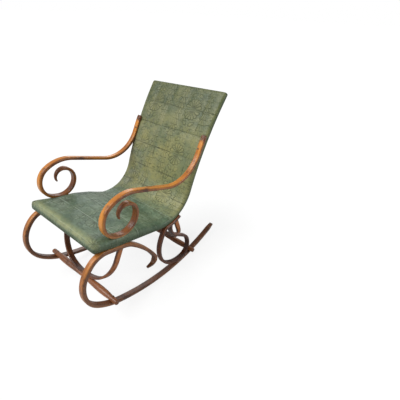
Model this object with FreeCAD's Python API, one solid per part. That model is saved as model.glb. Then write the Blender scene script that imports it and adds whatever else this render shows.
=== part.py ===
"""Bentwood rocking chair: two bent side bases, an upholstered seat and back in one curve, scrolled arms.

Millimetres. +Z is up, the sitter faces -Y and +X is at the sitter's left hand. The origin is on the floor,
under the middle of the chair's bounding box.
"""
import FreeCAD
import Part

import math
import os

from FreeCAD import Vector

# Driving dimensions, all in millimetres and degrees
# The underside of the seat and back is the line that everything else is fastened to
FRAME_FRONT_Y = -452.0
FRAME_FRONT_HEIGHT = 443.0
FRAME_SLOPE = 14.5
FRAME_SEAT_LENGTH = 400.0
FRAME_BEND_RADIUS = 216.0
FRAME_BEND_TURN = 83.0
FRAME_BACK_RADIUS = 1728.0
FRAME_BACK_TURN = 17.4

# The two side bases stand this far apart, middle to middle, and every other width follows
BASE_SPREAD = 494.0
FRAME_HALF_WIDTH = BASE_SPREAD / 2.0

# Upholstery
SEAT_FRONT_DEPTH = 50.0
SEAT_REAR_DEPTH = 32.0
BACK_DEPTH = 26.0
FRONT_PADDING = 15.0
WAIST_PADDING = 7.0
TOP_PADDING = 20.0
FRONT_HALF_WIDTH = FRAME_HALF_WIDTH + FRONT_PADDING
WAIST_HALF_WIDTH = FRAME_HALF_WIDTH + WAIST_PADDING
TOP_HALF_WIDTH = FRAME_HALF_WIDTH + TOP_PADDING
CROWN = 6.0
FLAT_CROWN = 0.2
CROWN_FLATS = 4
CROWN_START = 110.0
NOSE_RUN = 30.0
EDGE_LAND = 40.0
EDGE_EASE = 7.0
UNDER_EASE = 3.0
NOSE_TOP_RADIUS = 26.0
NOSE_LIP_RADIUS = 20.0
PLAN_CORNER_RADIUS = 22.0
CORNER_FLATS = 3

# Wooden frame and webbing inside the upholstery
RAIL_WIDTH = 38.0
RAIL_THICKNESS = 12.0
CROSS_RAIL_WIDTH = 42.0
FRAME_END_MARGIN = 24.0
LINING_THICKNESS = 1.6
STRAP_THICKNESS = 1.5
PAD_GAP = 0.3
STRAP_WIDTH = 50.0
STRAP_END_MARGIN = 10.0
SEAT_STRAPS = 5
BACK_STRAPS = 5

# Rockers and the bent strips of the base
BASE_WIDTH = 30.0
BASE_THICKNESS = 19.0
ROCKER_RADIUS = 1050.0
ROCKER_REAR_ANGLE = 23.6
FRONT_SCROLL_AT = 72.5
FRONT_SCROLL_TOP_RADIUS = 94.0
FRONT_SCROLL_TOP_TURN = 53.0
FRONT_SCROLL_RADIUS = 168.0
FRONT_SCROLL_TURN = 98.5
SEAT_CONTACT_RUN = 88.0
ARCH_SHOULDER_RADIUS = 130.0
ARCH_SHOULDER_TURN = 27.0
ARCH_RADIUS = 600.0
ARCH_TURN = 21.0
ARCH_HOOK_RADIUS = 34.0
ARCH_HOOK_TURN = 118.0
ARCH_TIP_RUN = 24.0
TIP_WIDTH = 14.0
TIP_THICKNESS = 8.0
TAIL_TAPER_RUN = 40.0
ARCH_TAPER_RUN = 60.0

# Rear scrolls, the bent loops between the rockers and the bend of the seat
LOOP_WIDTH = 28.0
LOOP_THICKNESS = 15.0
LOOP_REAR_AT = 554.0
LOOP_SEAT_RUN = 93.0
LOOP_NECK_RADIUS = 45.0
LOOP_NECK_HEADING = 240.0
LOOP_FRONT_RADIUS = 443.0
LOOP_BOTTOM_RADIUS = 163.0
LOOP_BOTTOM_END_HEADING = 368.8
LOOP_REAR_RADIUS = 62.0
LOOP_REAR_TURN = 63.0
LOOP_TOP_RADIUS = 100.0
LOOP_TOP_TURN = 73.0
LOOP_RETURN_RUN = 85.0
LOOP_RETURN_RADIUS = 84.0
LOOP_RETURN_TURN = 66.0
SEATING = 0.8

# Arms
ARM_OUTSET = 1.0
ARM_SPREAD = BASE_SPREAD + 2.0 * ARM_OUTSET
ARM_WIDTH = 31.0
ARM_THICKNESS = 15.0
ARM_TOP_AT = 1010.0
ARM_TOP_RUN = 98.0
ARM_ELBOW_RADIUS = 205.0
ARM_REST_RISE = 19.0
ARM_REST_RUN = 207.0
ARM_KNEE_RADIUS = 171.0
ARM_KNEE_TURN = 49.3
SCROLL_FOOT_RUN = 12.0
SCROLL_RADII = (83.2, 65.4, 43.0, 26.0)
SCROLL_TURNS = (104.0, 68.6, 118.0, 30.0)
ARM_TAPER_RUN = 96.0
ARM_TOP_TAPER_RUN = 14.0
ARM_TIP_WIDTH = 12.0
ARM_TIP_THICKNESS = 7.0

# Turned stretchers and the bent hoops that stand on them
STRETCHER_OVERHANG = 39.0
STRETCHER_LENGTH = BASE_SPREAD + 2.0 * STRETCHER_OVERHANG
STRETCHER_MIDDLE_RADIUS = 12.5
STRETCHER_SWELL_RADIUS = 18.0
STRETCHER_SWELL_INSET = 87.0
STRETCHER_SWELL_AT = BASE_SPREAD / 2.0 - STRETCHER_SWELL_INSET
TURNING_STEPS = 4
TURNING_SIDES = 16
STRETCHER_SEAT_RADIUS = 13.5
STRETCHER_TIP_RADIUS = 8.0
FRONT_STRETCHER_Y = -398.0
FRONT_SADDLE = 3.0
REAR_STRETCHER_Y = 183.0
REAR_SADDLE = 6.0
HOOP_WIDTH = 29.0
HOOP_THICKNESS = 13.0
HOOP_FOOT_RADIUS = 291.0
HOOP_FOOT_TURN = 18.3
HOOP_CORNER_TURN = 69.5
HOOP_LEG_INSET = 34.3
HOOP_LEG_RUN = 190.0
HOOP_SADDLE = 2.0
FRONT_HOOP_LEAN = 24.6
REAR_HOOP_LEAN = -18.5

# Fasteners
SCREW_RADIUS = 2.6
SCREW_HEAD_RADIUS = 5.0
SCREW_HEAD_HEIGHT = 2.0
FASTENER_INSET = 4.0
DOWEL_RADIUS = 4.0
DOWEL_LENGTH = 24.0
ARM_SCREWS_AT = (24.0, 76.0)
ARM_SCREW_LENGTH = 37.0
BASE_SCREWS_AT = (14.0, 74.0)
BASE_SCREW_LENGTH = 30.0
LOOP_SCREWS_AT = (28.0,)
LOOP_SCREW_LENGTH = 26.0
TACK_RADIUS = 3.2
TACK_HEAD = 0.8
TACK_LEG = 7.0
TACK_SPACING = 300.0
TACK_FIRST = 12.0
TACK_SPREAD = BASE_SPREAD - RAIL_WIDTH
WOOD_CHAMFER = 4.6

# The outer face of a strip has eased edges and the inner one is flat: which side that is, seen along its line
LEFT_SIDE = 1
RIGHT_SIDE = -1

# Cutters stand clear of what they cut by this much, and reach further out than any piece
CUT_MARGIN = 10.0
OUTSIDE = STRETCHER_LENGTH / 2.0 + CUT_MARGIN
OVER_SEAT = 3.0 * SEAT_FRONT_DEPTH


class SidePath:
    """A smooth line of straight runs and arcs, walked from one end to the other.

    Its two coordinates are Y and Z in the side view. Distances are measured along the line and an offset is
    to the left of the walking direction.
    """

    def __init__(self, y, z, heading):
        self.y = y
        self.z = z
        self.heading = heading
        self.runs = []
        self.marks = {}
        self.length = 0.0

    def mark(self, name):
        """Remember how far the line has come."""
        self.marks[name] = self.length

    def straight(self, run):
        self._add(0.0, run)
        return self

    def turn(self, radius, degrees):
        """Turn left by the given degrees, or right where they are negative."""
        curvature = math.copysign(1.0 / radius, degrees)
        self._add(curvature, radius * math.radians(abs(degrees)))
        return self

    def _add(self, curvature, run):
        start = (self.y, self.z, self.heading)
        self.runs.append((self.length, curvature, run, start))
        self.y, self.z, self.heading = self._walk(start, curvature, run)
        self.length += run

    @staticmethod
    def _walk(start, curvature, run):
        y, z, heading = start
        if curvature == 0.0:
            angle = math.radians(heading)
            return y + run * math.cos(angle), z + run * math.sin(angle), heading
        turned = heading + math.degrees(curvature * run)
        before = math.radians(heading)
        after = math.radians(turned)
        y += (math.sin(after) - math.sin(before)) / curvature
        z -= (math.cos(after) - math.cos(before)) / curvature
        return y, z, turned

    def run_at(self, distance):
        chosen = self.runs[0]
        for run in self.runs:
            if distance >= run[0] - 1e-9:
                chosen = run
        return chosen

    def at(self, distance, offset=0.0):
        """Y, Z and heading at a distance along the line, moved to the left by the offset."""
        begin, curvature, _, start = self.run_at(distance)
        y, z, heading = self._walk(start, curvature, distance - begin)
        angle = math.radians(heading)
        return y - offset * math.sin(angle), z + offset * math.cos(angle), heading

    def point(self, distance, offset=0.0, x=0.0):
        y, z, _ = self.at(distance, offset)
        return Vector(x, y, z)

    def normal(self, distance):
        """The direction to the left of the line."""
        angle = math.radians(self.at(distance)[2])
        return Vector(0, -math.sin(angle), math.cos(angle))

    def breaks(self, start, end, extra=()):
        """The distances where the line is cut into edges."""
        inner = [run[0] for run in self.runs] + list(extra)
        kept = [place for place in inner if start + 1e-6 < place < end - 1e-6]
        return [start] + sorted(set(kept)) + [end]

    def edges(self, start, end, offset=0.0, x=0.0, extra=()):
        """The line's edges between two distances, moved to the left by the offset."""
        edges = []
        places = self.breaks(start, end, extra)
        for first, last in zip(places, places[1:]):
            middle = (first + last) / 2.0
            begin = self.point(first, offset, x)
            finish = self.point(last, offset, x)
            bent = abs(self.at(last)[2] - self.at(first)[2]) > 1e-6
            if bent:
                edges.append(Part.Arc(begin, self.point(middle, offset, x), finish).toShape())
            else:
                edges.append(Part.LineSegment(begin, finish).toShape())
        return edges


def reversed_path(path):
    """The same line walked from its other end."""
    y, z, heading = path.at(path.length)
    back = SidePath(y, z, heading + 180.0)
    for _, curvature, run, _ in reversed(path.runs):
        back._add(-curvature, run)
    return back


def solve(wanted, low, high):
    """The value between low and high at which the rising or falling function is zero."""
    low_sign = wanted(low) > 0
    for _ in range(60):
        middle = (low + high) / 2.0
        if (wanted(middle) > 0) == low_sign:
            low = middle
        else:
            high = middle
    return (low + high) / 2.0


def band(path, start, end, low, high, x_from, x_to):
    """A plate that follows the line between two offsets, from one X to another."""
    lower = path.edges(start, end, low, x_from)
    upper = path.edges(start, end, high, x_from)
    closing = []
    for place in (start, end):
        ends = (path.point(place, low, x_from), path.point(place, high, x_from))
        closing.append(Part.LineSegment(*ends).toShape())
    outline = Part.Wire(Part.__sortEdges__(lower + upper + closing))
    return Part.Face(outline).extrude(Vector(x_to - x_from, 0, 0))


def strip_section(path, distance, x, width, thickness, outer):
    """The strip's cross-section: a rectangle with the edges of its outer face eased."""
    centre = path.point(distance, 0.0, x)
    up = path.normal(distance)
    half_w = width / 2.0
    half_t = thickness / 2.0
    ease = min(WOOD_CHAMFER, half_t * 0.55)
    corners = []
    for side_w, side_t in ((1, 1), (-1, 1), (-1, -1), (1, -1)):
        if side_t != outer:
            corners.append((side_w * half_w, side_t * half_t))
            continue
        on_side = (side_w * half_w, side_t * (half_t - ease))
        on_top = (side_w * (half_w - ease), side_t * half_t)
        corners += [on_side, on_top] if side_w * side_t > 0 else [on_top, on_side]
    points = [centre + Vector(across, 0, 0) + up * above for across, above in corners]
    return Part.makePolygon(points + points[:1])


def even_strip(path, x, start, end, width, thickness, outer):
    """A bent strip of one section, pushed along the straights and turned about the centre of each arc."""
    parts = []
    places = path.breaks(start, end)
    for first, last in zip(places, places[1:]):
        section = Part.Face(strip_section(path, first, x, width, thickness, outer))
        curvature = path.run_at((first + last) / 2.0)[1]
        if curvature == 0.0:
            parts.append(section.extrude(path.point(last, 0.0, x) - path.point(first, 0.0, x)))
        else:
            centre = path.point(first, 1.0 / curvature, x)
            axis = Vector(math.copysign(1.0, curvature), 0, 0)
            parts.append(section.revolve(centre, axis, math.degrees(abs(curvature) * (last - first))))
    return joined(parts)


def tapered_sweep(path, x, start, end, first, last):
    """A sweep from one section to another, both square to the line."""
    spine = Part.Wire(path.edges(start, end, 0.0, x))
    sweep = Part.BRepOffsetAPI.MakePipeShell(spine)
    sweep.setBiNormalMode(Vector(1, 0, 0))
    sweep.add(first, False, False)
    sweep.add(last, False, False)
    sweep.build()
    sweep.makeSolid()
    return sweep.shape()


def tapered_strip(path, x, start, end, start_size, end_size):
    first = strip_section(path, start, x, *start_size)
    last = strip_section(path, end, x, *end_size)
    return tapered_sweep(path, x, start, end, first, last)


def bent_strip(path, x, size, start_taper=0.0, end_taper=0.0, start_size=None, end_size=None):
    """A strip along the whole line, thinned towards either end over the given runs."""
    parts = [even_strip(path, x, start_taper, path.length - end_taper, *size)]
    if start_taper:
        parts.append(tapered_strip(path, x, 0.0, start_taper, start_size, size))
    if end_taper:
        parts.append(tapered_strip(path, x, path.length - end_taper, path.length, size, end_size))
    return joined(parts)


def joined(parts):
    whole = parts[0]
    if len(parts) > 1:
        whole = parts[0].multiFuse(parts[1:])
    return whole.Solids[0]


# The underside line of the seat and back, from the front edge to the top
def make_frame_line():
    line = SidePath(FRAME_FRONT_Y, FRAME_FRONT_HEIGHT, -FRAME_SLOPE)
    line.straight(FRAME_SEAT_LENGTH)
    line.turn(FRAME_BEND_RADIUS, FRAME_BEND_TURN)
    line.turn(FRAME_BACK_RADIUS, -FRAME_BACK_TURN)
    return line


FRAME_LINE = make_frame_line()
BEND_START = FRAME_SEAT_LENGTH
BEND_END = BEND_START + FRAME_BEND_RADIUS * math.radians(FRAME_BEND_TURN)
BEND_MIDDLE = (BEND_START + BEND_END) / 2.0
FRAME_TOP = FRAME_LINE.length
FRAME_DEPTH = LINING_THICKNESS + RAIL_THICKNESS + STRAP_THICKNESS + PAD_GAP


def cushion_section(distance, depth, half_width, crown):
    """Across the cushion: flat below, eased edges, flat lands along the sides and a crown between them."""
    base = FRAME_LINE.point(distance)
    up = FRAME_LINE.normal(distance)
    land = half_width - EDGE_LAND

    def place(across, above):
        return base + Vector(across, 0, 0) + up * above

    one_side = [(UNDER_EASE - half_width, 0.0), (-half_width, UNDER_EASE), (-half_width, depth - EDGE_EASE),
                (EDGE_EASE - half_width, depth)]
    around = [place(*spot) for spot in one_side]
    for number in range(CROWN_FLATS + 1):
        share = 2.0 * number / CROWN_FLATS - 1.0
        around.append(place(land * share, depth + crown * (1.0 - share ** 2)))
    around += [place(-across, above) for across, above in reversed(one_side)]
    return Part.makePolygon(around + around[:1])


def rounded_corner(radius):
    """A quarter of a circle in flats, from one side of a square corner to the other."""
    spots = []
    for number in range(CORNER_FLATS + 1):
        angle = math.radians(90.0 * number / CORNER_FLATS)
        spots.append((radius * (1.0 - math.cos(angle)), radius * (1.0 - math.sin(angle))))
    return spots


def side_corner_cutter(distance, sense, height, radius, upwards):
    """What rounding an end of the cushion removes, seen from the side."""
    y, z, heading = FRAME_LINE.at(distance)
    along = Vector(0, math.cos(math.radians(heading)), math.sin(math.radians(heading))) * sense
    up = FRAME_LINE.normal(distance)
    base = Vector(-OUTSIDE, y, z)
    beyond = CUT_MARGIN

    def place(run, above):
        return base + along * run + up * (height - upwards * above)

    rounding = [place(*spot) for spot in rounded_corner(radius)]
    around = [place(radius, -beyond), place(-beyond, -beyond), place(-beyond, radius)]
    outline = Part.makePolygon(rounding + around + rounding[:1])
    return Part.Face(outline).extrude(Vector(2.0 * OUTSIDE, 0, 0))


def plan_corner_cutter(distance, sense, side, half_width, radius):
    """What rounding a corner of the cushion removes, seen square to its face."""
    y, z, heading = FRAME_LINE.at(distance)
    along = Vector(0, math.cos(math.radians(heading)), math.sin(math.radians(heading))) * sense
    up = FRAME_LINE.normal(distance)
    base = Vector(side * half_width, y, z) - up * CUT_MARGIN
    beyond = CUT_MARGIN

    def place(run, inward):
        return base + along * run - Vector(side * inward, 0, 0)

    rounding = [place(*spot) for spot in rounded_corner(radius)]
    around = [place(radius, -beyond), place(-beyond, -beyond), place(-beyond, radius)]
    outline = Part.makePolygon(rounding + around + rounding[:1])
    return Part.Face(outline).extrude(up * OVER_SEAT)


def make_cushion():
    """The padded cover over the seat and back, hollow below for the wooden frame.

    Each station is a distance along the underside line with the depth, the half width and the crown there.
    """
    stations = [
        (0.0, SEAT_FRONT_DEPTH, FRONT_HALF_WIDTH, FLAT_CROWN),
        (NOSE_RUN, SEAT_FRONT_DEPTH, FRONT_HALF_WIDTH, FLAT_CROWN),
        (CROWN_START, None, None, CROWN),
        (BEND_START, SEAT_REAR_DEPTH, WAIST_HALF_WIDTH, CROWN),
        (BEND_MIDDLE, BACK_DEPTH, WAIST_HALF_WIDTH, CROWN),
        (BEND_END, BACK_DEPTH, WAIST_HALF_WIDTH, CROWN),
        (FRAME_TOP - CROWN_START, None, None, CROWN),
        (FRAME_TOP - NOSE_RUN, BACK_DEPTH, TOP_HALF_WIDTH, FLAT_CROWN),
        (FRAME_TOP, BACK_DEPTH, TOP_HALF_WIDTH, FLAT_CROWN),
    ]
    full = []
    for index, station in enumerate(stations):
        distance, depth, half_width, crown = station
        if depth is None:
            before, after = stations[index - 1], stations[index + 1]
            share = (distance - before[0]) / (after[0] - before[0])
            depth = before[1] + share * (after[1] - before[1])
            half_width = before[2] + share * (after[2] - before[2])
        full.append((distance, depth, half_width, crown))
    spans = []
    for first, last in zip(full, full[1:]):
        ends = (cushion_section(*first), cushion_section(*last))
        spans.append(tapered_sweep(FRAME_LINE, 0.0, first[0], last[0], *ends))
    body = joined(spans)
    cutters = [
        side_corner_cutter(0.0, 1, SEAT_FRONT_DEPTH, NOSE_TOP_RADIUS, 1),
        side_corner_cutter(0.0, 1, 0.0, NOSE_LIP_RADIUS, -1),
        side_corner_cutter(FRAME_TOP, -1, BACK_DEPTH, BACK_DEPTH * 0.5, 1),
        side_corner_cutter(FRAME_TOP, -1, 0.0, BACK_DEPTH * 0.3, -1),
    ]
    for side in (1, -1):
        cutters.append(plan_corner_cutter(0.0, 1, side, FRONT_HALF_WIDTH, PLAN_CORNER_RADIUS))
        cutters.append(plan_corner_cutter(FRAME_TOP, -1, side, TOP_HALF_WIDTH, PLAN_CORNER_RADIUS))
    for cutter in cutters:
        body = body.cut(cutter)
    room = band(FRAME_LINE, FRAME_END_MARGIN, FRAME_TOP - FRAME_END_MARGIN, -CUT_MARGIN, FRAME_DEPTH,
                -FRAME_HALF_WIDTH, FRAME_HALF_WIDTH)
    return body.cut(room).Solids[0]


def make_frame_pieces():
    """The wooden frame, its webbing and the lining, layer over layer on the underside line."""
    start = FRAME_END_MARGIN
    end = FRAME_TOP - FRAME_END_MARGIN
    low = LINING_THICKNESS
    high = low + RAIL_THICKNESS
    inner = FRAME_HALF_WIDTH - RAIL_WIDTH
    pieces = {
        "side_rail_left": band(FRAME_LINE, start, end, low, high, inner, FRAME_HALF_WIDTH),
        "side_rail_right": band(FRAME_LINE, start, end, low, high, -FRAME_HALF_WIDTH, -inner),
        "underside_lining": band(FRAME_LINE, start, end, 0.0, low, -FRAME_HALF_WIDTH, FRAME_HALF_WIDTH),
    }
    middle_of_back = (BEND_END + end) / 2.0
    cross_rails = {
        "front_cross_rail": start,
        "bend_cross_rail": BEND_MIDDLE - CROSS_RAIL_WIDTH / 2.0,
        "back_cross_rail": middle_of_back - CROSS_RAIL_WIDTH / 2.0,
        "top_cross_rail": end - CROSS_RAIL_WIDTH,
    }
    for name, place in cross_rails.items():
        pieces[name] = band(FRAME_LINE, place, place + CROSS_RAIL_WIDTH, low, high, -inner, inner)
    reach = FRAME_HALF_WIDTH - STRAP_END_MARGIN
    seat_span = (start + CROSS_RAIL_WIDTH, BEND_MIDDLE)
    back_span = (BEND_MIDDLE + CROSS_RAIL_WIDTH, end - CROSS_RAIL_WIDTH)
    layers = (("seat_webbing", seat_span, SEAT_STRAPS), ("back_webbing", back_span, BACK_STRAPS))
    for name, span, count in layers:
        pitch = (span[1] - span[0]) / count
        straps = []
        for number in range(count):
            middle = span[0] + pitch * (number + 0.5)
            straps.append(band(FRAME_LINE, middle - STRAP_WIDTH / 2.0, middle + STRAP_WIDTH / 2.0,
                               high, high + STRAP_THICKNESS, -reach, reach))
        pieces[name] = Part.makeCompound(straps)
    return pieces


# The base strip: one line from the tail of the rocker, round the front scroll and into the arch's hook
ROCKER_CENTRE_Z = ROCKER_RADIUS + BASE_THICKNESS / 2.0


def make_base_line():
    y, z, heading = FRAME_LINE.at(FRONT_SCROLL_AT, -BASE_THICKNESS / 2.0)
    front = SidePath(y, z, heading + 180.0)
    front.turn(FRONT_SCROLL_TOP_RADIUS, FRONT_SCROLL_TOP_TURN)
    front.turn(FRONT_SCROLL_RADIUS, FRONT_SCROLL_TURN)
    front.mark("scroll")
    # The last arc of the scroll runs into the rocker's circle without a kink
    angle = math.radians(front.heading)
    normal_y, normal_z = -math.sin(angle), math.cos(angle)
    from_y, from_z = front.y, front.z - ROCKER_CENTRE_Z
    square = from_y ** 2 + from_z ** 2
    radius = (ROCKER_RADIUS ** 2 - square) / (2.0 * (from_y * normal_y + from_z * normal_z + ROCKER_RADIUS))
    centre_y, centre_z = from_y + radius * normal_y, from_z + radius * normal_z
    meeting = math.degrees(math.atan2(centre_y, -centre_z)) + 360.0
    front.turn(radius, meeting - front.heading)
    front.turn(ROCKER_RADIUS, ROCKER_REAR_ANGLE + 360.0 - meeting)
    base = reversed_path(front)
    base.marks["scroll"] = front.length - front.marks["scroll"]
    base.mark("seat")
    base.straight(SEAT_CONTACT_RUN)
    base.turn(ARCH_SHOULDER_RADIUS, -ARCH_SHOULDER_TURN)
    base.turn(ARCH_RADIUS, -ARCH_TURN)
    base.turn(ARCH_HOOK_RADIUS, -ARCH_HOOK_TURN)
    base.straight(ARCH_TIP_RUN)
    return base


BASE_LINE = make_base_line()


def make_loop_line():
    """The rear scroll: along the bend's underside, down, round over the rocker and back up to the start."""
    y, z, heading = FRAME_LINE.at(LOOP_REAR_AT, -LOOP_THICKNESS / 2.0)
    seat_radius = FRAME_BEND_RADIUS + LOOP_THICKNESS / 2.0

    def to_bottom(front_turn):
        line = SidePath(y, z, heading + 180.0)
        line.turn(seat_radius, -math.degrees(LOOP_SEAT_RUN / seat_radius))
        line.turn(LOOP_NECK_RADIUS, LOOP_NECK_HEADING - line.heading)
        line.turn(LOOP_FRONT_RADIUS, front_turn)
        return line

    def above_rocker(front_turn):
        line = to_bottom(front_turn)
        centre_y, centre_z, _ = line.at(line.length, LOOP_BOTTOM_RADIUS)
        reach = math.hypot(centre_y, centre_z - ROCKER_CENTRE_Z)
        rocker_top = ROCKER_RADIUS - BASE_THICKNESS / 2.0
        return rocker_top + SEATING - reach - LOOP_BOTTOM_RADIUS - LOOP_THICKNESS / 2.0

    line = to_bottom(solve(above_rocker, 2.0, 30.0))
    line.mark("bottom")
    line.turn(LOOP_BOTTOM_RADIUS, LOOP_BOTTOM_END_HEADING - line.heading)
    line.turn(LOOP_REAR_RADIUS, LOOP_REAR_TURN)
    line.turn(LOOP_TOP_RADIUS, LOOP_TOP_TURN)
    line.straight(LOOP_RETURN_RUN)
    line.turn(LOOP_RETURN_RADIUS, -LOOP_RETURN_TURN)
    return line


LOOP_LINE = make_loop_line()

SEAT_TOP_SLOPE = FRAME_SLOPE + math.degrees(
    math.atan((SEAT_FRONT_DEPTH - SEAT_REAR_DEPTH) / (BEND_START - NOSE_RUN)))


def make_arm_line():
    y, z, heading = FRAME_LINE.at(ARM_TOP_AT, BACK_DEPTH + ARM_THICKNESS / 2.0)
    back_radius = FRAME_BACK_RADIUS + BACK_DEPTH + ARM_THICKNESS / 2.0
    seat_point = FRAME_LINE.point(NOSE_RUN, SEAT_FRONT_DEPTH)
    slope = math.radians(SEAT_TOP_SLOPE)

    def to_foot(radius):
        line = SidePath(y, z, heading - 180.0)
        line.turn(back_radius, math.degrees(ARM_TOP_RUN / back_radius))
        line.turn(ARM_ELBOW_RADIUS, -180.0 - ARM_REST_RISE - line.heading)
        line.straight(ARM_REST_RUN)
        line.turn(ARM_KNEE_RADIUS, ARM_KNEE_TURN)
        line.turn(radius, -SEAT_TOP_SLOPE - line.heading)
        return line

    def above_seat(radius):
        line = to_foot(radius)
        above = (line.y - seat_point.y) * math.sin(slope) + (line.z - seat_point.z) * math.cos(slope)
        return above - ARM_THICKNESS / 2.0

    line = to_foot(solve(above_seat, ARM_KNEE_RADIUS * 0.3, ARM_KNEE_RADIUS * 0.8))
    line.mark("foot")
    line.straight(SCROLL_FOOT_RUN)
    for radius, turn in zip(SCROLL_RADII, SCROLL_TURNS):
        line.turn(radius, turn)
    return line


ARM_LINE = make_arm_line()


def stretcher_profile():
    """Distances from the middle with the radius there: a thin middle, a swelling and a rounded tip."""
    half = STRETCHER_LENGTH / 2.0
    tip = STRETCHER_SEAT_RADIUS - STRETCHER_TIP_RADIUS
    neck = BASE_SPREAD / 2.0 - BASE_WIDTH / 2.0
    places = []
    for step in range(TURNING_STEPS + 1):
        share = step / TURNING_STEPS
        swollen = (1.0 - math.cos(math.pi * share)) / 2.0
        radius = STRETCHER_MIDDLE_RADIUS + swollen * (STRETCHER_SWELL_RADIUS - STRETCHER_MIDDLE_RADIUS)
        places.append((share * STRETCHER_SWELL_AT, radius))
    for share in (0.5, 1.0):
        along = STRETCHER_SWELL_AT + share * (neck - STRETCHER_SWELL_AT)
        fallen = share ** 2 * (STRETCHER_SWELL_RADIUS - STRETCHER_SEAT_RADIUS)
        places.append((along, STRETCHER_SWELL_RADIUS - fallen))
    places.append((half - tip, STRETCHER_SEAT_RADIUS))
    places.append((half - tip * 0.3, STRETCHER_TIP_RADIUS + tip * 0.7))
    places.append((half, STRETCHER_TIP_RADIUS))
    return places


def ring(x, y, z, radius):
    """A many-sided ring round a stretcher's axis."""
    corners = []
    for number in range(TURNING_SIDES):
        angle = 2.0 * math.pi * (number + 0.5) / TURNING_SIDES
        corners.append(Vector(x, y + radius * math.cos(angle), z + radius * math.sin(angle)))
    return Part.makePolygon(corners + corners[:1])


def make_stretcher(y, z):
    """A turned stretcher: rings lofted from tip to tip."""
    profile = stretcher_profile()
    rings = [ring(-along, y, z, radius) for along, radius in reversed(profile[1:])]
    rings += [ring(along, y, z, radius) for along, radius in profile]
    return Part.makeLoft(rings, True, True)


def stretcher_axis(wanted_y, saddle):
    """Where a stretcher lies when it is let into the rocker by the saddle's depth."""
    lift = -(BASE_THICKNESS / 2.0 + STRETCHER_SEAT_RADIUS - saddle)

    def ahead(distance):
        return BASE_LINE.at(distance, lift)[0] - wanted_y

    place = solve(ahead, 0.0, BASE_LINE.marks["scroll"])
    return BASE_LINE.point(place, lift), place


def make_hoop_line():
    """One half of a hoop in its own plane, from its middle on the stretcher up one leg."""
    start = math.sin(math.radians(HOOP_FOOT_TURN))
    end = math.sin(math.radians(HOOP_FOOT_TURN + HOOP_CORNER_TURN))
    corner_radius = (FRAME_HALF_WIDTH - HOOP_LEG_INSET - HOOP_FOOT_RADIUS * start) / (end - start)
    half = SidePath(0.0, STRETCHER_MIDDLE_RADIUS + HOOP_THICKNESS / 2.0 - HOOP_SADDLE, 0.0)
    half.turn(HOOP_FOOT_RADIUS, HOOP_FOOT_TURN)
    half.turn(corner_radius, HOOP_CORNER_TURN)
    half.mark("leg")
    half.straight(HOOP_LEG_RUN)
    return half


HOOP_LINE = make_hoop_line()


def make_hoop(axis, lean):
    """A bent U that stands on a stretcher's middle and is cut off flush under the seat."""
    strip = even_strip(HOOP_LINE, 0.0, 0.0, HOOP_LINE.length, HOOP_WIDTH, HOOP_THICKNESS, RIGHT_SIDE)
    other = strip.mirror(Vector(0, 0, 0), Vector(0, 1, 0))
    hoop = strip.fuse(other).Solids[0]
    hoop.rotate(Vector(0, 0, 0), Vector(0, 0, 1), 90)
    hoop.rotate(Vector(0, 0, 0), Vector(1, 0, 0), -lean)
    hoop.translate(Vector(0, axis.y, axis.z))
    return hoop.cut(space_over_seat()).Solids[0]


def space_over_seat():
    """Everything above the underside line, to cut the pieces that end there."""
    return band(FRAME_LINE, 0.0, FRAME_TOP, 0.0, OVER_SEAT, -OUTSIDE, OUTSIDE)


def prism(base, direction, radius, length, sides):
    """A many-sided peg, light enough to repeat and round enough for a small fastener."""
    axis = Vector(direction).normalize()
    across = Vector(1, 0, 0) if abs(axis.x) < 0.9 else Vector(0, 1, 0)
    across = (across - axis * across.dot(axis)).normalize()
    other = axis.cross(across)
    corners = []
    for number in range(sides):
        angle = 2.0 * math.pi * number / sides
        corners.append(base + across * (radius * math.cos(angle)) + other * (radius * math.sin(angle)))
    return Part.Face(Part.makePolygon(corners + corners[:1])).extrude(axis * length)


def screw(head, direction, length):
    """A screw whose head sits on a surface at the given place."""
    axis = Vector(direction).normalize()
    cap = prism(head - axis * SCREW_HEAD_HEIGHT, axis, SCREW_HEAD_RADIUS, SCREW_HEAD_HEIGHT, 8)
    return prism(head, axis, SCREW_RADIUS, length, 4).fuse(cap).Solids[0]


def tack(head, direction):
    axis = Vector(direction).normalize()
    cap = prism(head - axis * TACK_HEAD, axis, TACK_RADIUS, TACK_HEAD, 6)
    return prism(head, axis, TACK_RADIUS * 0.25, TACK_LEG, 4).fuse(cap).Solids[0]


def on_strip(line, distance, offset, x):
    """A place on a strip's face, with the direction from that face into the strip."""
    return line.point(distance, offset, x), line.normal(distance) * (-1.0 if offset > 0 else 1.0)


def height_over_underside(y, z):
    """How far a place lies above the seat's underside, ahead of the bend or inside it."""
    centre_y, centre_z, _ = FRAME_LINE.at(BEND_START, FRAME_BEND_RADIUS)
    slope = math.radians(FRAME_SLOPE)
    if (y - centre_y) * math.cos(slope) - (z - centre_z) * math.sin(slope) < 0:
        return (y - FRAME_FRONT_Y) * math.sin(slope) + (z - FRAME_FRONT_HEIGHT) * math.cos(slope)
    return FRAME_BEND_RADIUS - math.hypot(y - centre_y, z - centre_z)


def hoop_leg_end(axis, lean, side):
    """Where a hoop's leg meets the underside, and the way the leg points there."""
    tilt = math.radians(lean)

    def place(distance):
        across, up, _ = HOOP_LINE.at(distance)
        return Vector(side * across, axis.y + up * math.sin(tilt), axis.z + up * math.cos(tilt))

    def above(distance):
        here = place(distance)
        return height_over_underside(here.y, here.z)

    meeting = solve(above, HOOP_LINE.marks["leg"], HOOP_LINE.length)
    return place(meeting), (place(meeting) - place(meeting - 1.0)).normalize()


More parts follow.
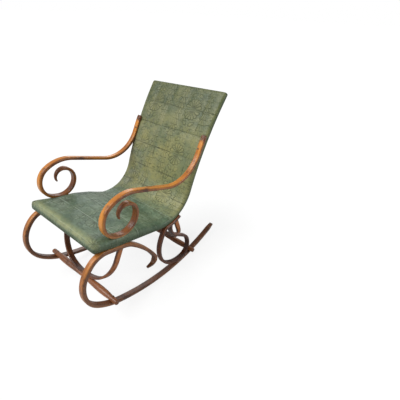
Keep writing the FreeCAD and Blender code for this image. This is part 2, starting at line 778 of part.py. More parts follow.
# Where the turned stretchers lie, as their axis and their distance along the base line
FRONT_AXIS, FRONT_SEAT_AT = stretcher_axis(FRONT_STRETCHER_Y, FRONT_SADDLE)
REAR_AXIS, REAR_SEAT_AT = stretcher_axis(REAR_STRETCHER_Y, REAR_SADDLE)
STRETCHERS = {"front_stretcher": (FRONT_AXIS, FRONT_SEAT_AT), "rear_stretcher": (REAR_AXIS, REAR_SEAT_AT)}
HOOPS = {"front_hoop": ("front_stretcher", FRONT_AXIS, FRONT_HOOP_LEAN),
         "rear_hoop": ("rear_stretcher", REAR_AXIS, REAR_HOOP_LEAN)}
SIDES = {"left": 1, "right": -1}
CUSHION = "seat_and_back_upholstery"
LINING = "underside_lining"


# Fasteners: each is a solid with the names of the pieces that it passes through
def make_arm_top_screws(name, side):
    x = side * (BASE_SPREAD / 2.0 - FASTENER_INSET)
    made = []
    for along in ARM_SCREWS_AT:
        head, way = on_strip(ARM_LINE, along, -ARM_THICKNESS / 2.0, x)
        made.append((screw(head, way, ARM_SCREW_LENGTH), ["arm_" + name, CUSHION, "side_rail_" + name]))
    return made


def make_arm_scroll_screws(name, side):
    """One screw a side, up through the base, the rail and the cushion into the foot of the arm's scroll."""
    x = side * (BASE_SPREAD / 2.0 - FASTENER_INSET)
    foot_y, foot_z, _ = ARM_LINE.at(ARM_LINE.marks["foot"] + SCROLL_FOOT_RUN / 2.0)
    slope = math.radians(FRAME_SLOPE)
    under = (foot_y - FRAME_FRONT_Y) * math.cos(slope) - (foot_z - FRAME_FRONT_HEIGHT) * math.sin(slope)
    head, way = on_strip(FRAME_LINE, under, 0.0, x)
    through = ["side_base_" + name, LINING, "side_rail_" + name, CUSHION, "arm_" + name]
    return [(screw(head, way, height_over_underside(foot_y, foot_z)), through)]


def make_base_screws(name, side):
    x = side * (BASE_SPREAD / 2.0 - FASTENER_INSET)
    made = []
    for along in BASE_SCREWS_AT:
        head, way = on_strip(BASE_LINE, BASE_LINE.marks["seat"] + along, -BASE_THICKNESS / 2.0, x)
        made.append((screw(head, way, BASE_SCREW_LENGTH), ["side_base_" + name, LINING, "side_rail_" + name]))
    return made


def make_rear_scroll_screws(name, side):
    x = side * (BASE_SPREAD / 2.0 - FASTENER_INSET)
    made = []
    for along in LOOP_SCREWS_AT:
        head, way = on_strip(LOOP_LINE, along, LOOP_THICKNESS / 2.0, x)
        through = ["rear_scroll_" + name, LINING, "side_rail_" + name]
        made.append((screw(head, way, LOOP_SCREW_LENGTH), through))
    return made


def make_rocker_screws(name, side):
    """One screw a side where the rear scroll rests on the rocker."""
    bottom = LOOP_LINE.marks["bottom"]
    heading = LOOP_LINE.at(bottom)[2]
    centre_y, centre_z, _ = LOOP_LINE.at(bottom, LOOP_BOTTOM_RADIUS)
    touching = math.degrees(math.atan2(centre_y, ROCKER_CENTRE_Z - centre_z)) + 360.0
    touch_at = bottom + LOOP_BOTTOM_RADIUS * math.radians(touching - heading)
    head, way = on_strip(LOOP_LINE, touch_at, LOOP_THICKNESS / 2.0, side * BASE_SPREAD / 2.0)
    return [(screw(head, way, LOOP_SCREW_LENGTH), ["rear_scroll_" + name, "side_base_" + name])]


def make_stretcher_screws(name, side):
    made = []
    for stretcher, (axis, seat_at) in STRETCHERS.items():
        way = BASE_LINE.normal(seat_at)
        head = axis - way * STRETCHER_SEAT_RADIUS + Vector(side * BASE_SPREAD / 2.0, 0, 0)
        length = 2.0 * STRETCHER_SEAT_RADIUS + BASE_THICKNESS * 0.5
        made.append((screw(head, way, length), [stretcher, "side_base_" + name]))
    return made


def make_hoop_dowels(name, side):
    made = []
    for hoop, (_, axis, lean) in HOOPS.items():
        end, way = hoop_leg_end(axis, lean, side)
        peg = prism(end - way * DOWEL_LENGTH * 0.6, way, DOWEL_RADIUS, DOWEL_LENGTH, 6)
        made.append((peg, [hoop, LINING, "side_rail_" + name]))
    return made


def make_lining_tacks(name, side):
    made = []
    along = FRAME_END_MARGIN + TACK_FIRST
    while along < FRAME_TOP - FRAME_END_MARGIN:
        head, way = on_strip(FRAME_LINE, along, 0.0, side * TACK_SPREAD / 2.0)
        made.append((tack(head, way), [LINING, "side_rail_" + name]))
        along += TACK_SPACING
    return made


def make_hoop_screws():
    """One screw down through the middle of each hoop into its stretcher."""
    made = []
    for hoop, (stretcher, axis, lean) in HOOPS.items():
        tilt = math.radians(lean)
        up = Vector(0, math.sin(tilt), math.cos(tilt))
        head = axis + up * (STRETCHER_MIDDLE_RADIUS + HOOP_THICKNESS - HOOP_SADDLE)
        peg = screw(head, up * -1.0, HOOP_THICKNESS + STRETCHER_MIDDLE_RADIUS * 1.4)
        made.append((peg, [hoop, stretcher]))
    return made


def make_fasteners():
    sets = {"hoop_screws": make_hoop_screws()}
    makers = {
        "arm_top_screws": make_arm_top_screws,
        "arm_scroll_screws": make_arm_scroll_screws,
        "base_screws": make_base_screws,
        "rear_scroll_screws": make_rear_scroll_screws,
        "rocker_screws": make_rocker_screws,
        "stretcher_screws": make_stretcher_screws,
        "hoop_dowels": make_hoop_dowels,
        "lining_tacks": make_lining_tacks,
    }
    for title, maker in makers.items():
        sets[title] = [made for name, side in SIDES.items() for made in maker(name, side)]
    return sets


def make_bent_pieces():
    """The stretchers with their hoops, then each side's base, rear scroll and arm."""
    pieces = {}
    for name, (axis, _) in STRETCHERS.items():
        pieces[name] = make_stretcher(axis.y, axis.z)
    stretchers = list(pieces.values())
    for name, (stretcher, axis, lean) in HOOPS.items():
        pieces[name] = make_hoop(axis, lean).cut(pieces[stretcher])
    over_seat = space_over_seat()
    base_size = (BASE_WIDTH, BASE_THICKNESS, LEFT_SIDE)
    tail_size = (BASE_WIDTH * 0.75, BASE_THICKNESS * 0.6, LEFT_SIDE)
    tip_size = (TIP_WIDTH, TIP_THICKNESS, LEFT_SIDE)
    arm_size = (ARM_WIDTH, ARM_THICKNESS, RIGHT_SIDE)
    arm_top_size = (ARM_WIDTH * 0.84, ARM_THICKNESS, RIGHT_SIDE)
    arm_tip_size = (ARM_TIP_WIDTH, ARM_TIP_THICKNESS, RIGHT_SIDE)
    for name, side in SIDES.items():
        x = side * BASE_SPREAD / 2.0
        base = bent_strip(BASE_LINE, x, base_size, TAIL_TAPER_RUN, ARCH_TAPER_RUN, tail_size, tip_size)
        loop = even_strip(LOOP_LINE, x, 0.0, LOOP_LINE.length, LOOP_WIDTH, LOOP_THICKNESS, RIGHT_SIDE)
        pieces["rear_scroll_" + name] = loop.cut([over_seat, base])
        pieces["side_base_" + name] = base.cut(stretchers)
        pieces["arm_" + name] = bent_strip(ARM_LINE, side * ARM_SPREAD / 2.0, arm_size, ARM_TOP_TAPER_RUN,
                                           ARM_TAPER_RUN, arm_top_size, arm_tip_size)
    return pieces


def build():
    pieces = make_frame_pieces()
    pieces[CUSHION] = make_cushion()
    pieces.update(make_bent_pieces())
    cutters = {}
    for title, members in make_fasteners().items():
        pieces[title] = Part.makeCompound([solid for solid, _ in members])
        for solid, through in members:
            for piece in through:
                cutters.setdefault(piece, []).append(solid)
    for piece, solids in cutters.items():
        pieces[piece] = pieces[piece].cut(solids)
    return pieces


def export(pieces):
    """Move the chair so that the origin is under the middle of its bounding box, and write every piece."""
    os.makedirs("parts", exist_ok=True)
    front = pieces["side_base_left"].optimalBoundingBox(False, False).YMin
    rear = pieces["seat_and_back_upholstery"].optimalBoundingBox(False, False).YMax
    middle = Vector(0, -(front + rear) / 2.0, 0)
    for name, shape in sorted(pieces.items()):
        moved = shape.copy()
        moved.translate(middle)
        if len(moved.Solids) == 1:
            moved = moved.Solids[0]
        moved.exportStep("parts/" + name + ".step")
    print(len(pieces), "pieces, moved by", middle)


export(build())
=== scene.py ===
"""Bentwood rocking chair: varnished bent strips, and a damask leatherette cover over one curved pad."""

import math

import bmesh
import bpy
from mathutils import Matrix, Vector
from mathutils.kdtree import KDTree


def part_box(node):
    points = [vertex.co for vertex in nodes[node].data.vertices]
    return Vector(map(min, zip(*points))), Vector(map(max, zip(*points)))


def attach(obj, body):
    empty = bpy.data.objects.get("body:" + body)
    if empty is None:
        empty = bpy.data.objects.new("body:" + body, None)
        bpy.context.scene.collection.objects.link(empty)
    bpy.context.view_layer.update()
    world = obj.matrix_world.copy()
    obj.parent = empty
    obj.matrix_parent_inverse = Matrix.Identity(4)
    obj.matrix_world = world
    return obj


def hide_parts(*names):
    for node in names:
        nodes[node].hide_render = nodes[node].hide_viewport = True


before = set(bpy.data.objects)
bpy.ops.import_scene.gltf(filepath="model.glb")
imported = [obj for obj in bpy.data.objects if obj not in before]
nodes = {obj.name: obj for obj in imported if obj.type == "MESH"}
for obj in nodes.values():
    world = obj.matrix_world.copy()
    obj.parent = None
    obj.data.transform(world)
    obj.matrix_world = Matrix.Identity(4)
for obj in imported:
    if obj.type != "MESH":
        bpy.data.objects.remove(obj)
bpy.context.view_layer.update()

# The line of the seat's underside, in metres and degrees, from the front edge up to the top
STRETCHER_Y = (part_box("front_stretcher")[0].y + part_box("front_stretcher")[1].y) / 2
FRONT_OVERHANG = 0.054
FRONT_EDGE_Y = STRETCHER_Y - FRONT_OVERHANG
FRONT_EDGE_HEIGHT = 0.443
SEAT_SLOPE = 14.5
SEAT_RUN = 0.400
BEND_RADIUS = 0.216
BEND_TURN = 83.0
BACK_RADIUS = 1.728
BACK_TURN = 17.4

# The cover's depth and half its width; both stay as they are over the end run at the front, and the width
# over the one at the top
FRONT_DEPTH = 0.050
SEAT_DEPTH = 0.032
BACK_DEPTH = 0.026
FRONT_HALF_WIDTH = 0.262
WAIST_HALF_WIDTH = 0.254
TOP_HALF_WIDTH = 0.267
END_RUN = 0.03

# How round the cover's edges are while it is flat, which edges those are, and how fine its mesh is
SAME_PLACE = 0.001
SHORTEST_SIDE_EDGE = 0.01
LOW = 0.01
FRONT_TOP_OVER = 0.04
BACK_TOP_OVER = 0.02
SIDE_RADIUS = 0.014
FRONT_CORNER_RADIUS = 0.027
TOP_CORNER_RADIUS = 0.016
FRONT_ROLL_RADIUS = 0.022
FRONT_HEM_RADIUS = 0.013
TOP_ROLL_RADIUS = 0.012
VOXEL = 0.0074

# How full the cover is, as pairs of a place along the line and a height: CROWN swells its middle and not its
# sides, and FULLNESS lifts its whole width, most at the far side
CROWN = ((0.0, 0.0), (0.10, 0.008), (0.26, 0.013), (0.42, 0.004), (0.60, 0.003), (0.95, 0.006), (1.12, 0.0))
FULLNESS = ((0.0, 0.007), (0.10, 0.005), (0.22, 0.017), (0.31, 0.014), (0.41, 0.0))

# The top edge rises over the back's last stretch, more at the near corner than at the far one
RISE_RUN = 0.5
NEAR_CORNER_RISE = 0.021
FAR_CORNER_RISE = 0.003

# The bands where the top turns into a side wall and into the front, how far the seat's sides fall, and how
# far the walls are drawn in near the front corners
WALL_BAND = 0.016
WALL_MARGIN = 0.003
FRONT_BAND = 0.02
SIDE_FALL = 0.005
SIDE_FALL_BAND = 0.045
SIDE_FALL_FADES_FROM = 0.3
SIDE_FALL_ENDS = 0.5
DRAWN_IN = 0.008
DRAWN_IN_BAND = 0.03
DRAWN_IN_TO = 0.14

# The underside lies flat on the lining
LINING_HALF_WIDTH = 0.247
LINING_MARGIN = 0.024
UNDERSIDE_BELOW = 0.006
UNDERSIDE_HEIGHT = 0.005

# The seams, how tightly the swelling cover is held at them, and how far it may swell between them
SEAM_ACROSS = 0.120
SEAM_ALONG = 0.124
SEAM_START = -0.004
GROOVE_HALF_WIDTH = 0.0035
GROOVE_DEPTH = 0.0009
SEAM_HOLD = 0.9
HELD_UP_TO = 0.004
FREE_FROM = 0.016
MOST_SWELLING = 0.0045

# The leatherette turns golden on the back, dark near its top, and grey towards the far side of the back
BACK_COLOUR_FROM = 0.475
BACK_COLOUR_TO = 0.570
TOP_COLOUR_FROM = 0.86
TOP_COLOUR_TO = 1.14
TOP_COLOUR_SHARE = 0.90
GREY_FROM = 0.08
GREY_TO = -0.20

# The ornament's repeat, its wobble, and how soft its shapes' edges are
MOTIF_ACROSS = 0.275
MOTIF_ALONG = 0.248
MOTIF_AT = (0.110, 0.864)
MOTIF_WOBBLE = 0.014
SOFT_EDGE = 0.001

# One fan, whose hub stands a little above the middle of the repeat, with half the width of its drawn lines;
# the foliage starts a little outside it
FAN_LIFT = 0.006
FAN_RADIUS = 0.053
FOLIAGE_STARTS = (FAN_RADIUS + 0.004, FAN_RADIUS + 0.009)
PETAL_ANGLE = math.radians(25.7)
PETAL_SCALLOP = 0.034
HUB_RADIUS = 0.011
RIB_LINE = 0.0021
RIM_LINE = 0.0024
HUB_LINE = 0.0022

# One column of leaves, likewise
LEAF_COLUMN = 0.088
LEAF_PITCH = 0.031
LEAF_SLANT = 0.9
LEAF_HALF_WIDTH = 0.006
LEAF_SPREAD = 1.15
LEAF_LINE = 0.0019
STEM_LINE = 0.0016

# The creases along the seams, half the width of their drawn lines, and half the width of the band beside them
# where shade is painted
CREASE_WANDER = 0.012
CREASE_ACROSS_LINE = 0.0013
CREASE_ALONG_LINE = 0.0014
BESIDE_LINE = 0.005

# The folds where the cover is drawn under its edges: how wide they are, and over which places they start
SIDE_FOLD = 0.021
FRONT_FOLD = 0.024
CORNER_FOLD = 0.020
CORNER_AT = 0.246
CORNER_FOLDS = 1.9
FOLD_WANDER = 0.05
PUCKER_STRENGTH = 90.0
SIDE_FOLDS_START = (0.268, 0.292)
FRONT_FOLDS_START = (-0.034, -0.016)
CORNER_FOLDS_END = (0.018, 0.062)

# Places along the cover between which its rubbed front roll, which also gets a painted highlight, starts and
# ends, and where its underside, darkened as painted shade, starts
RUBBED_AND_LIT_STARTS = (-0.030, -0.012)
RUBBED_AND_LIT_ENDS = (-0.004, 0.040)
UNDERSIDE_STARTS = (-0.040, -0.022)

# The wood: how far apart its strips are read, where the darkening starts at their edges, partly staining and
# partly painted shade, and where the staining starts at the ends of a stretcher
MARK_STEP = 0.003
SECTION_STEP = 0.012
NARROWEST_SECTION = 0.009
EDGE_STAIN_AND_SHADE_FROM = 0.82
TURNED_END_STAIN = 0.012
CORNER_ROUNDING = 0.008
HOLLOW_DEPTH = 0.006
DARKENING_RUN = 0.3
BEYOND_ANY_END = 9.0

# The other materials
WORN_ROUGHER = 0.25
METAL_ROUGHNESS = 0.45
ONE_WAVE = 0.31
JUTE_PITCH = 0.003
LINING_PITCH = 0.0015

# The camera stands where the photograph was taken from
CAMERA_AT = Vector((1.1316, FRONT_EDGE_Y - 0.4486, 1.3158))
CAMERA_PITCH = 33.04
CAMERA_ROLL = -2.40
CAMERA_TURN = 36.817
SENSOR_WIDTH = 36.0
PHOTO_WIDTH_IN_PIXELS = 400.0
FOCAL_LENGTH_IN_PIXELS = 294.0
LENS_WIDTHS = FOCAL_LENGTH_IN_PIXELS / PHOTO_WIDTH_IN_PIXELS

WHITE = (1.0, 1.0, 1.0, 1.0)


class Line:
    """A side view line of arcs and straights; heading in degrees, left turns positive."""

    def __init__(self, y, z, heading):
        self.runs = []
        self.length = 0.0
        self.end = (y, z, heading)

    def add(self, length, turn=0.0):
        self.runs.append((self.length, length, turn, self.end))
        self.length += length
        self.end = self._walk(self.end, length, turn, length)
        return self

    def arc(self, radius, turn):
        return self.add(radius * math.radians(abs(turn)), turn)

    @staticmethod
    def _walk(start, length, turn, along):
        y, z, heading = start
        if abs(turn) < 1e-6:
            angle = math.radians(heading)
            return y + along * math.cos(angle), z + along * math.sin(angle), heading
        bend = math.radians(turn) / length
        before = math.radians(heading)
        after = before + bend * along
        y += (math.sin(after) - math.sin(before)) / bend
        z -= (math.cos(after) - math.cos(before)) / bend
        return y, z, math.degrees(after)

    def at(self, along, offset=0.0):
        """The place and the heading at a length along the line, moved off the line to its left."""
        run = self.runs[0]
        for other in self.runs:
            if along >= other[0]:
                run = other
        start, length, turn, first = run
        y, z, heading = self._walk(first, length, turn, along - start)
        angle = math.radians(heading)
        return y - offset * math.sin(angle), z + offset * math.cos(angle), heading


SEAT_LINE = Line(FRONT_EDGE_Y, FRONT_EDGE_HEIGHT, -SEAT_SLOPE)
SEAT_LINE.add(SEAT_RUN).arc(BEND_RADIUS, BEND_TURN).arc(BACK_RADIUS, -BACK_TURN)
BEND_START = SEAT_RUN
BEND_END = SEAT_LINE.runs[2][0]
BEND_MIDDLE = (BEND_START + BEND_END) / 2
TOP = SEAT_LINE.length


def between(value, places):
    """A value read off straight runs between (place, value) pairs."""
    if value <= places[0][0]:
        return places[0][1]
    for (x0, y0), (x1, y1) in zip(places, places[1:]):
        if value <= x1:
            return y0 + (y1 - y0) * (value - x0) / (x1 - x0)
    return places[-1][1]


def smooth(value, low, high):
    """0 at the low value and 1 at the high one, with a soft start and end."""
    share = min(1.0, max(0.0, (value - low) / (high - low)))
    return share * share * (3.0 - 2.0 * share)


def cover_depth(along):
    return between(along, [(END_RUN, FRONT_DEPTH), (BEND_START, SEAT_DEPTH), (BEND_MIDDLE, BACK_DEPTH)])


def cover_half_width(along):
    return between(along, [(END_RUN, FRONT_HALF_WIDTH), (BEND_START, WAIST_HALF_WIDTH),
                           (BEND_END, WAIST_HALF_WIDTH), (TOP - END_RUN, TOP_HALF_WIDTH)])


def new_object(name, mesh_tool):
    mesh = bpy.data.meshes.new(name)
    mesh_tool.to_mesh(mesh)
    mesh_tool.free()
    made = bpy.data.objects.new(name, mesh)
    bpy.context.scene.collection.objects.link(made)
    return made


# The cover is made flat, with its width on X, its length on Y and its depth on Z, then laid along the line
def flat_cover():
    shape = bmesh.new()
    bmesh.ops.create_cube(shape, size=1.0)
    for vert in shape.verts:
        vert.co = Vector((vert.co.x * 2.0, (vert.co.y + 0.5) * TOP, vert.co.z + 0.5))
    for place in (END_RUN, BEND_START, BEND_MIDDLE, BEND_END, TOP - END_RUN):
        everything = shape.verts[:] + shape.edges[:] + shape.faces[:]
        bmesh.ops.bisect_plane(shape, geom=everything, plane_co=(0, place, 0), plane_no=(0, 1, 0))
    for vert in shape.verts:
        vert.co.x *= TOP_HALF_WIDTH
        vert.co.z *= cover_depth(vert.co.y)
    round_edges(shape, SIDE_RADIUS, lambda a, b: runs_along(a, b) and lowest(a, b) > LOW)
    round_edges(shape, FRONT_CORNER_RADIUS, lambda a, b: at_front(a, b) and upright(a, b))
    round_edges(shape, TOP_CORNER_RADIUS, lambda a, b: at_top(a, b) and upright(a, b))
    round_edges(shape, FRONT_ROLL_RADIUS, lambda a, b: at_front(a, b) and lowest(a, b) > FRONT_TOP_OVER)
    round_edges(shape, FRONT_HEM_RADIUS, lambda a, b: at_front(a, b) and max(a.z, b.z) < LOW)
    round_edges(shape, TOP_ROLL_RADIUS, lambda a, b: at_top(a, b) and lowest(a, b) > BACK_TOP_OVER)
    return new_object("seat_and_back_cover", shape)


def at_front(a, b):
    return max(a.y, b.y) < SAME_PLACE


def at_top(a, b):
    return min(a.y, b.y) > TOP - SAME_PLACE


def upright(a, b):
    return abs(a.x - b.x) < SAME_PLACE


def runs_along(a, b):
    return abs(a.y - b.y) > SHORTEST_SIDE_EDGE


def lowest(a, b):
    return min(a.z, b.z)


def round_edges(shape, radius, chosen):
    edges = [edge for edge in shape.edges if chosen(edge.verts[0].co, edge.verts[1].co)]
    if edges:
        bmesh.ops.bevel(shape, geom=edges, offset=radius, segments=4, profile=0.5, affect="EDGES",
                        material=-1, clamp_overlap=True)


def apply_modifier(piece, modifier):
    bpy.context.view_layer.objects.active = piece
    with bpy.context.temp_override(object=piece, active_object=piece, selected_objects=[piece]):
        bpy.ops.object.modifier_apply(modifier=modifier.name)


def even_out(piece):
    """Give the cover a mesh of even small faces, and soften its edges."""
    even = piece.modifiers.new("even", "REMESH")
    even.mode = "VOXEL"
    even.voxel_size = VOXEL
    apply_modifier(piece, even)
    soften = piece.modifiers.new("soften", "SMOOTH")
    soften.factor = 0.5
    soften.iterations = 3
    apply_modifier(piece, soften)


def seam_distance(x, along):
    """How far a place on the cover is from the nearest stitched line."""
    across = abs((x / SEAM_ACROSS) % 1.0 - 0.5) * SEAM_ACROSS
    lengthwise = abs(((along - SEAM_START) / SEAM_ALONG + 0.5) % 1.0 - 0.5) * SEAM_ALONG
    return min(across, lengthwise)


def inflate(piece):
    """Blow the cover up a little between its seams, as stretched leatherette over foam."""
    still = [vert.co.copy() for vert in piece.data.vertices]
    held = piece.vertex_groups.new(name="held")
    for vert in piece.data.vertices:
        top = cover_depth(vert.co.y)
        near_seam = 1.0 - smooth(seam_distance(vert.co.x, vert.co.y), HELD_UP_TO, FREE_FROM)
        under = 1.0 - smooth(vert.co.z, 0.2 * top, 0.7 * top)
        held.add([vert.index], max(near_seam * SEAM_HOLD, under), "REPLACE")
    cloth = piece.modifiers.new("fill", "CLOTH")
    settings = cloth.settings
    settings.vertex_group_mass = "held"
    settings.use_pressure = True
    settings.uniform_pressure_force = 4.0
    settings.effector_weights.gravity = 0.0
    settings.quality = 4
    settings.tension_stiffness = 12.0
    settings.compression_stiffness = 12.0
    settings.bending_stiffness = 0.6
    cloth.point_cache.frame_start = 1
    cloth.point_cache.frame_end = 20
    for number in range(cloth.point_cache.frame_start, cloth.point_cache.frame_end + 1):
        bpy.context.scene.frame_set(number)
    apply_modifier(piece, cloth)
    bpy.context.scene.frame_set(1)
    for vert, before in zip(piece.data.vertices, still):
        moved = vert.co - before
        if moved.length > MOST_SWELLING:
            vert.co = before + moved * (MOST_SWELLING / moved.length)
    piece.vertex_groups.clear()


def note_cover_places(mesh, spots):
    """Keep on the mesh where each place was on the flat cover, and how far down a side wall it is."""
    layer = mesh.uv_layers.new(name="cover")
    for loop in mesh.loops:
        spot = spots[loop.vertex_index]
        half = cover_half_width(spot.y)
        fall = max(0.0, cover_depth(spot.y) - spot.z) * smooth(abs(spot.x), half - WALL_BAND, half)
        front = max(0.0, FRONT_DEPTH - spot.z) * (1.0 - smooth(spot.y, 0.0, FRONT_BAND))
        layer.data[loop.index].uv = (spot.x + math.copysign(fall, spot.x), spot.y - front)
    wall = mesh.attributes.new("wall", "FLOAT", "POINT")
    for number, spot in enumerate(spots):
        half = cover_half_width(spot.y)
        drop = min(1.0, max(0.0, 1.0 - spot.z / cover_depth(spot.y)))
        wall.data[number].value = drop * smooth(abs(spot.x), half - WALL_BAND, half - WALL_MARGIN)


def on_lining(spot):
    """Whether a place of the flat cover is on its underside, where the lining goes."""
    inside = abs(spot.x) < LINING_HALF_WIDTH and LINING_MARGIN < spot.y < TOP - LINING_MARGIN
    return inside and spot.z < UNDERSIDE_BELOW


def height_over_line(spot):
    """How high a place of the flat cover comes to lie over the seat line, with the crown and the seams."""
    if on_lining(spot):
        return UNDERSIDE_HEIGHT
    depth = cover_depth(spot.y)
    half = cover_half_width(spot.y)
    upper = smooth(spot.z, 0.45 * depth, 0.95 * depth)
    share = min(1.0, abs(spot.x) / half)
    on_seat = 1.0 - smooth(spot.y, SIDE_FALL_FADES_FROM, SIDE_FALL_ENDS)
    groove = 1.0 - smooth(seam_distance(spot.x, spot.y), 0.0, GROOVE_HALF_WIDTH)
    height = spot.z + upper * between(spot.y, CROWN) * (1.0 - share ** 3)
    height += upper * between(spot.y, FULLNESS) * (0.75 - 0.25 * spot.x / half)
    height -= upper * SIDE_FALL * smooth(abs(spot.x), half - SIDE_FALL_BAND, half) * on_seat
    height -= upper * groove * GROOVE_DEPTH
    return height


def laid_place(spot):
    """Where a place of the flat cover comes to lie on the chair."""
    half = cover_half_width(spot.y)
    rise = FAR_CORNER_RISE + (NEAR_CORNER_RISE - FAR_CORNER_RISE) * (0.5 + 0.5 * spot.x / half)
    run = spot.y + rise * min(1.0, max(0.0, (spot.y - TOP + RISE_RUN) / RISE_RUN))
    along = min(max(run, 0.0), TOP)
    y, z, heading = SEAT_LINE.at(along, height_over_line(spot))
    y += (run - along) * math.cos(math.radians(heading))
    z += (run - along) * math.sin(math.radians(heading))
    # The side walls are rounder near the two front corners
    off_middle = 2.0 * spot.z / cover_depth(spot.y) - 1.0
    drawn_in = DRAWN_IN * off_middle * off_middle * smooth(abs(spot.x), half - DRAWN_IN_BAND, half)
    drawn_in *= 1.0 - smooth(spot.y, END_RUN, DRAWN_IN_TO)
    return Vector((spot.x - math.copysign(drawn_in, spot.x), y, z))


def make_cover():
    cover = flat_cover()
    even_out(cover)
    # The cover narrows only now, because straight walls come out of the remesh without steps
    for vert in cover.data.vertices:
        vert.co.x *= cover_half_width(vert.co.y) / TOP_HALF_WIDTH
    inflate(cover)
    spots = [vert.co.copy() for vert in cover.data.vertices]
    note_cover_places(cover.data, spots)
    for vert, spot in zip(cover.data.vertices, spots):
        vert.co = laid_place(spot)
    cover.data.update()
    rounder = cover.modifiers.new("fine", "SUBSURF")
    rounder.levels = 1
    rounder.render_levels = 1
    for face in cover.data.polygons:
        face.use_smooth = True
    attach(cover, "root")
    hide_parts("seat_and_back_upholstery")
    return cover


# Where the wood's fibres run: the line of each bent strip, in metres and degrees
ARM_LINE = Line(0.3385, 0.756, -121.4)
ARM_LINE.add(0.098, 3.2).add(0.2892, -80.8).add(0.207).arc(0.171, 49.3).add(0.2073, 132.4).add(0.012)
ARM_LINE.arc(0.0832, 104.0).arc(0.0654, 68.6).arc(0.043, 118.0).arc(0.026, 30.0)

LOOP_LINE = Line(0.1335, 0.352, 206.3)
LOOP_LINE.add(0.093, -23.8).arc(0.045, 57.5).add(0.0559, 7.2).arc(0.163, 121.6).arc(0.062, 63.0)
LOOP_LINE.arc(0.100, 73.0).add(0.085).arc(0.084, -66.0)

BASE_MEETING = SEAT_LINE.at(0.0725, offset=-0.0095)
BASE_FORWARD = Line(BASE_MEETING[0], BASE_MEETING[1], 180.0 - SEAT_SLOPE)
BASE_FORWARD.arc(0.094, 53.0).arc(0.168, 98.5).arc(0.327, 22.6).arc(1.050, 44.5)
BASE_REARWARD = Line(BASE_MEETING[0], BASE_MEETING[1], -SEAT_SLOPE)
BASE_REARWARD.add(0.088).arc(0.130, -27.0).arc(0.600, -21.0).arc(0.034, -118.0).add(0.024)

HOOP_LINE = Line(0.0, 0.018, 0.0)
HOOP_LINE.arc(0.291, 18.3).arc(0.177, 69.5).add(0.190)
HOOP_LEANS = {"front": 24.6, "rear": -18.5}


def in_side_view(spot):
    return spot.x, spot.y, spot.z, 1.0


def in_hoop_plane(name):
    """A hoop leans on its stretcher: read places in its own plane, from the stretcher's axis."""
    end = name.split("_")[0]
    low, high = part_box(end + "_stretcher")
    upright_hoop = Matrix.Rotation(math.radians(HOOP_LEANS[end]), 3, "X")

    def read(spot):
        local = upright_hoop @ (spot - (low + high) / 2)
        return local.y, abs(local.x), local.z, math.copysign(1.0, local.x)

    return read


def wood_notes(mesh):
    """The wood's two attributes: both are made before either is written, since making one moves the other."""
    mesh.attributes.new("grain", "FLOAT_VECTOR", "POINT")
    mesh.attributes.new("stain_and_shade", "FLOAT", "POINT")
    return mesh.attributes["grain"], mesh.attributes["stain_and_shade"]


def strip_places(mesh, lines, read):
    """Each place of a bent strip as lengths across, through and along it, and the side that it is on."""
    marks = []
    for line, sense in lines:
        count = int(line.length / MARK_STEP)
        for step in range(count + 1):
            along = line.length * step / count
            marks.append((line.at(along), along, sense))
    tree = KDTree(len(marks))
    for number, (place, _, _) in enumerate(marks):
        tree.insert(Vector((0.0, place[0], place[1])), number)
    tree.balance()
    places = []
    for vert in mesh.vertices:
        across, y, z, side = read(vert.co)
        _, number, _ = tree.find(Vector((0.0, y, z)))
        (line_y, line_z, heading), along, sense = marks[number]
        angle = math.radians(heading)
        through = -(y - line_y) * math.sin(angle) + (z - line_z) * math.cos(angle)
        ahead = (y - line_y) * math.cos(angle) + (z - line_z) * math.sin(angle)
        places.append((across, through * sense, (along + ahead) * sense, side))
    return places


def strip_sections(places):
    """The middle and half the width of a strip, as pairs found in short lengths of it."""
    lengths = {}
    for across, _, along, _ in places:
        lengths.setdefault(math.floor(along / SECTION_STEP), []).append(across)
    middles = []
    halves = []
    for number in sorted(lengths):
        low, high = min(lengths[number]), max(lengths[number])
        if high - low > NARROWEST_SECTION:
            along = (number + 0.5) * SECTION_STEP
            middles.append((along, (low + high) / 2))
            halves.append((along, (high - low) / 2))
    return middles, halves


def note_grain(name, lines, read, stained_ends=()):
    """Write on a CAD node where its strip's fibres run, and how near each place is to a darkened edge or end.

    An edge is darkened for staining and for painted shade; a stained end is its place along the strip, how
    far the staining reaches, and how strong it is.
    """
    mesh = nodes[name].data
    places = strip_places(mesh, lines, read)
    middles, halves = strip_sections(places)
    grain, stain_and_shade = wood_notes(mesh)
    for number, (across, through, along, side) in enumerate(places):
        middle = between(along, middles)
        grain.data[number].vector = (across - middle, through, along * side)
        edge = smooth(abs(across - middle) / between(along, halves), EDGE_STAIN_AND_SHADE_FROM, 1.0)
        ends = [strength * (1.0 - smooth(abs(along - place), 0.2 * reach, reach))
                for place, reach, strength in stained_ends]
        stain_and_shade.data[number].value = max([edge] + ends)


def note_turned_grain(name):
    """A turned stretcher has its fibres along its own axis, from side to side."""
    low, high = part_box(name)
    middle = (low + high) / 2
    half = high.x - middle.x
    mesh = nodes[name].data
    grain, stain_and_shade = wood_notes(mesh)
    for vert in mesh.vertices:
        local = vert.co - middle
        grain.data[vert.index].vector = (local.y, local.z, local.x)
        stain_and_shade.data[vert.index].value = smooth(abs(local.x), half - TURNED_END_STAIN, half)


ARMS = ("arm_left", "arm_right")
BASES = ("side_base_left", "side_base_right")
SCROLLS = ("rear_scroll_left", "rear_scroll_right")
HOOPS = ("front_hoop", "rear_hoop")
STRETCHERS = ("front_stretcher", "rear_stretcher")
FRAME_WOOD = ("side_rail_left", "side_rail_right", "front_cross_rail", "bend_cross_rail",
              "back_cross_rail", "top_cross_rail", "hoop_dowels")
SCREWS = ("arm_top_screws", "arm_scroll_screws", "base_screws", "rear_scroll_screws",
          "rocker_screws", "stretcher_screws", "hoop_screws")

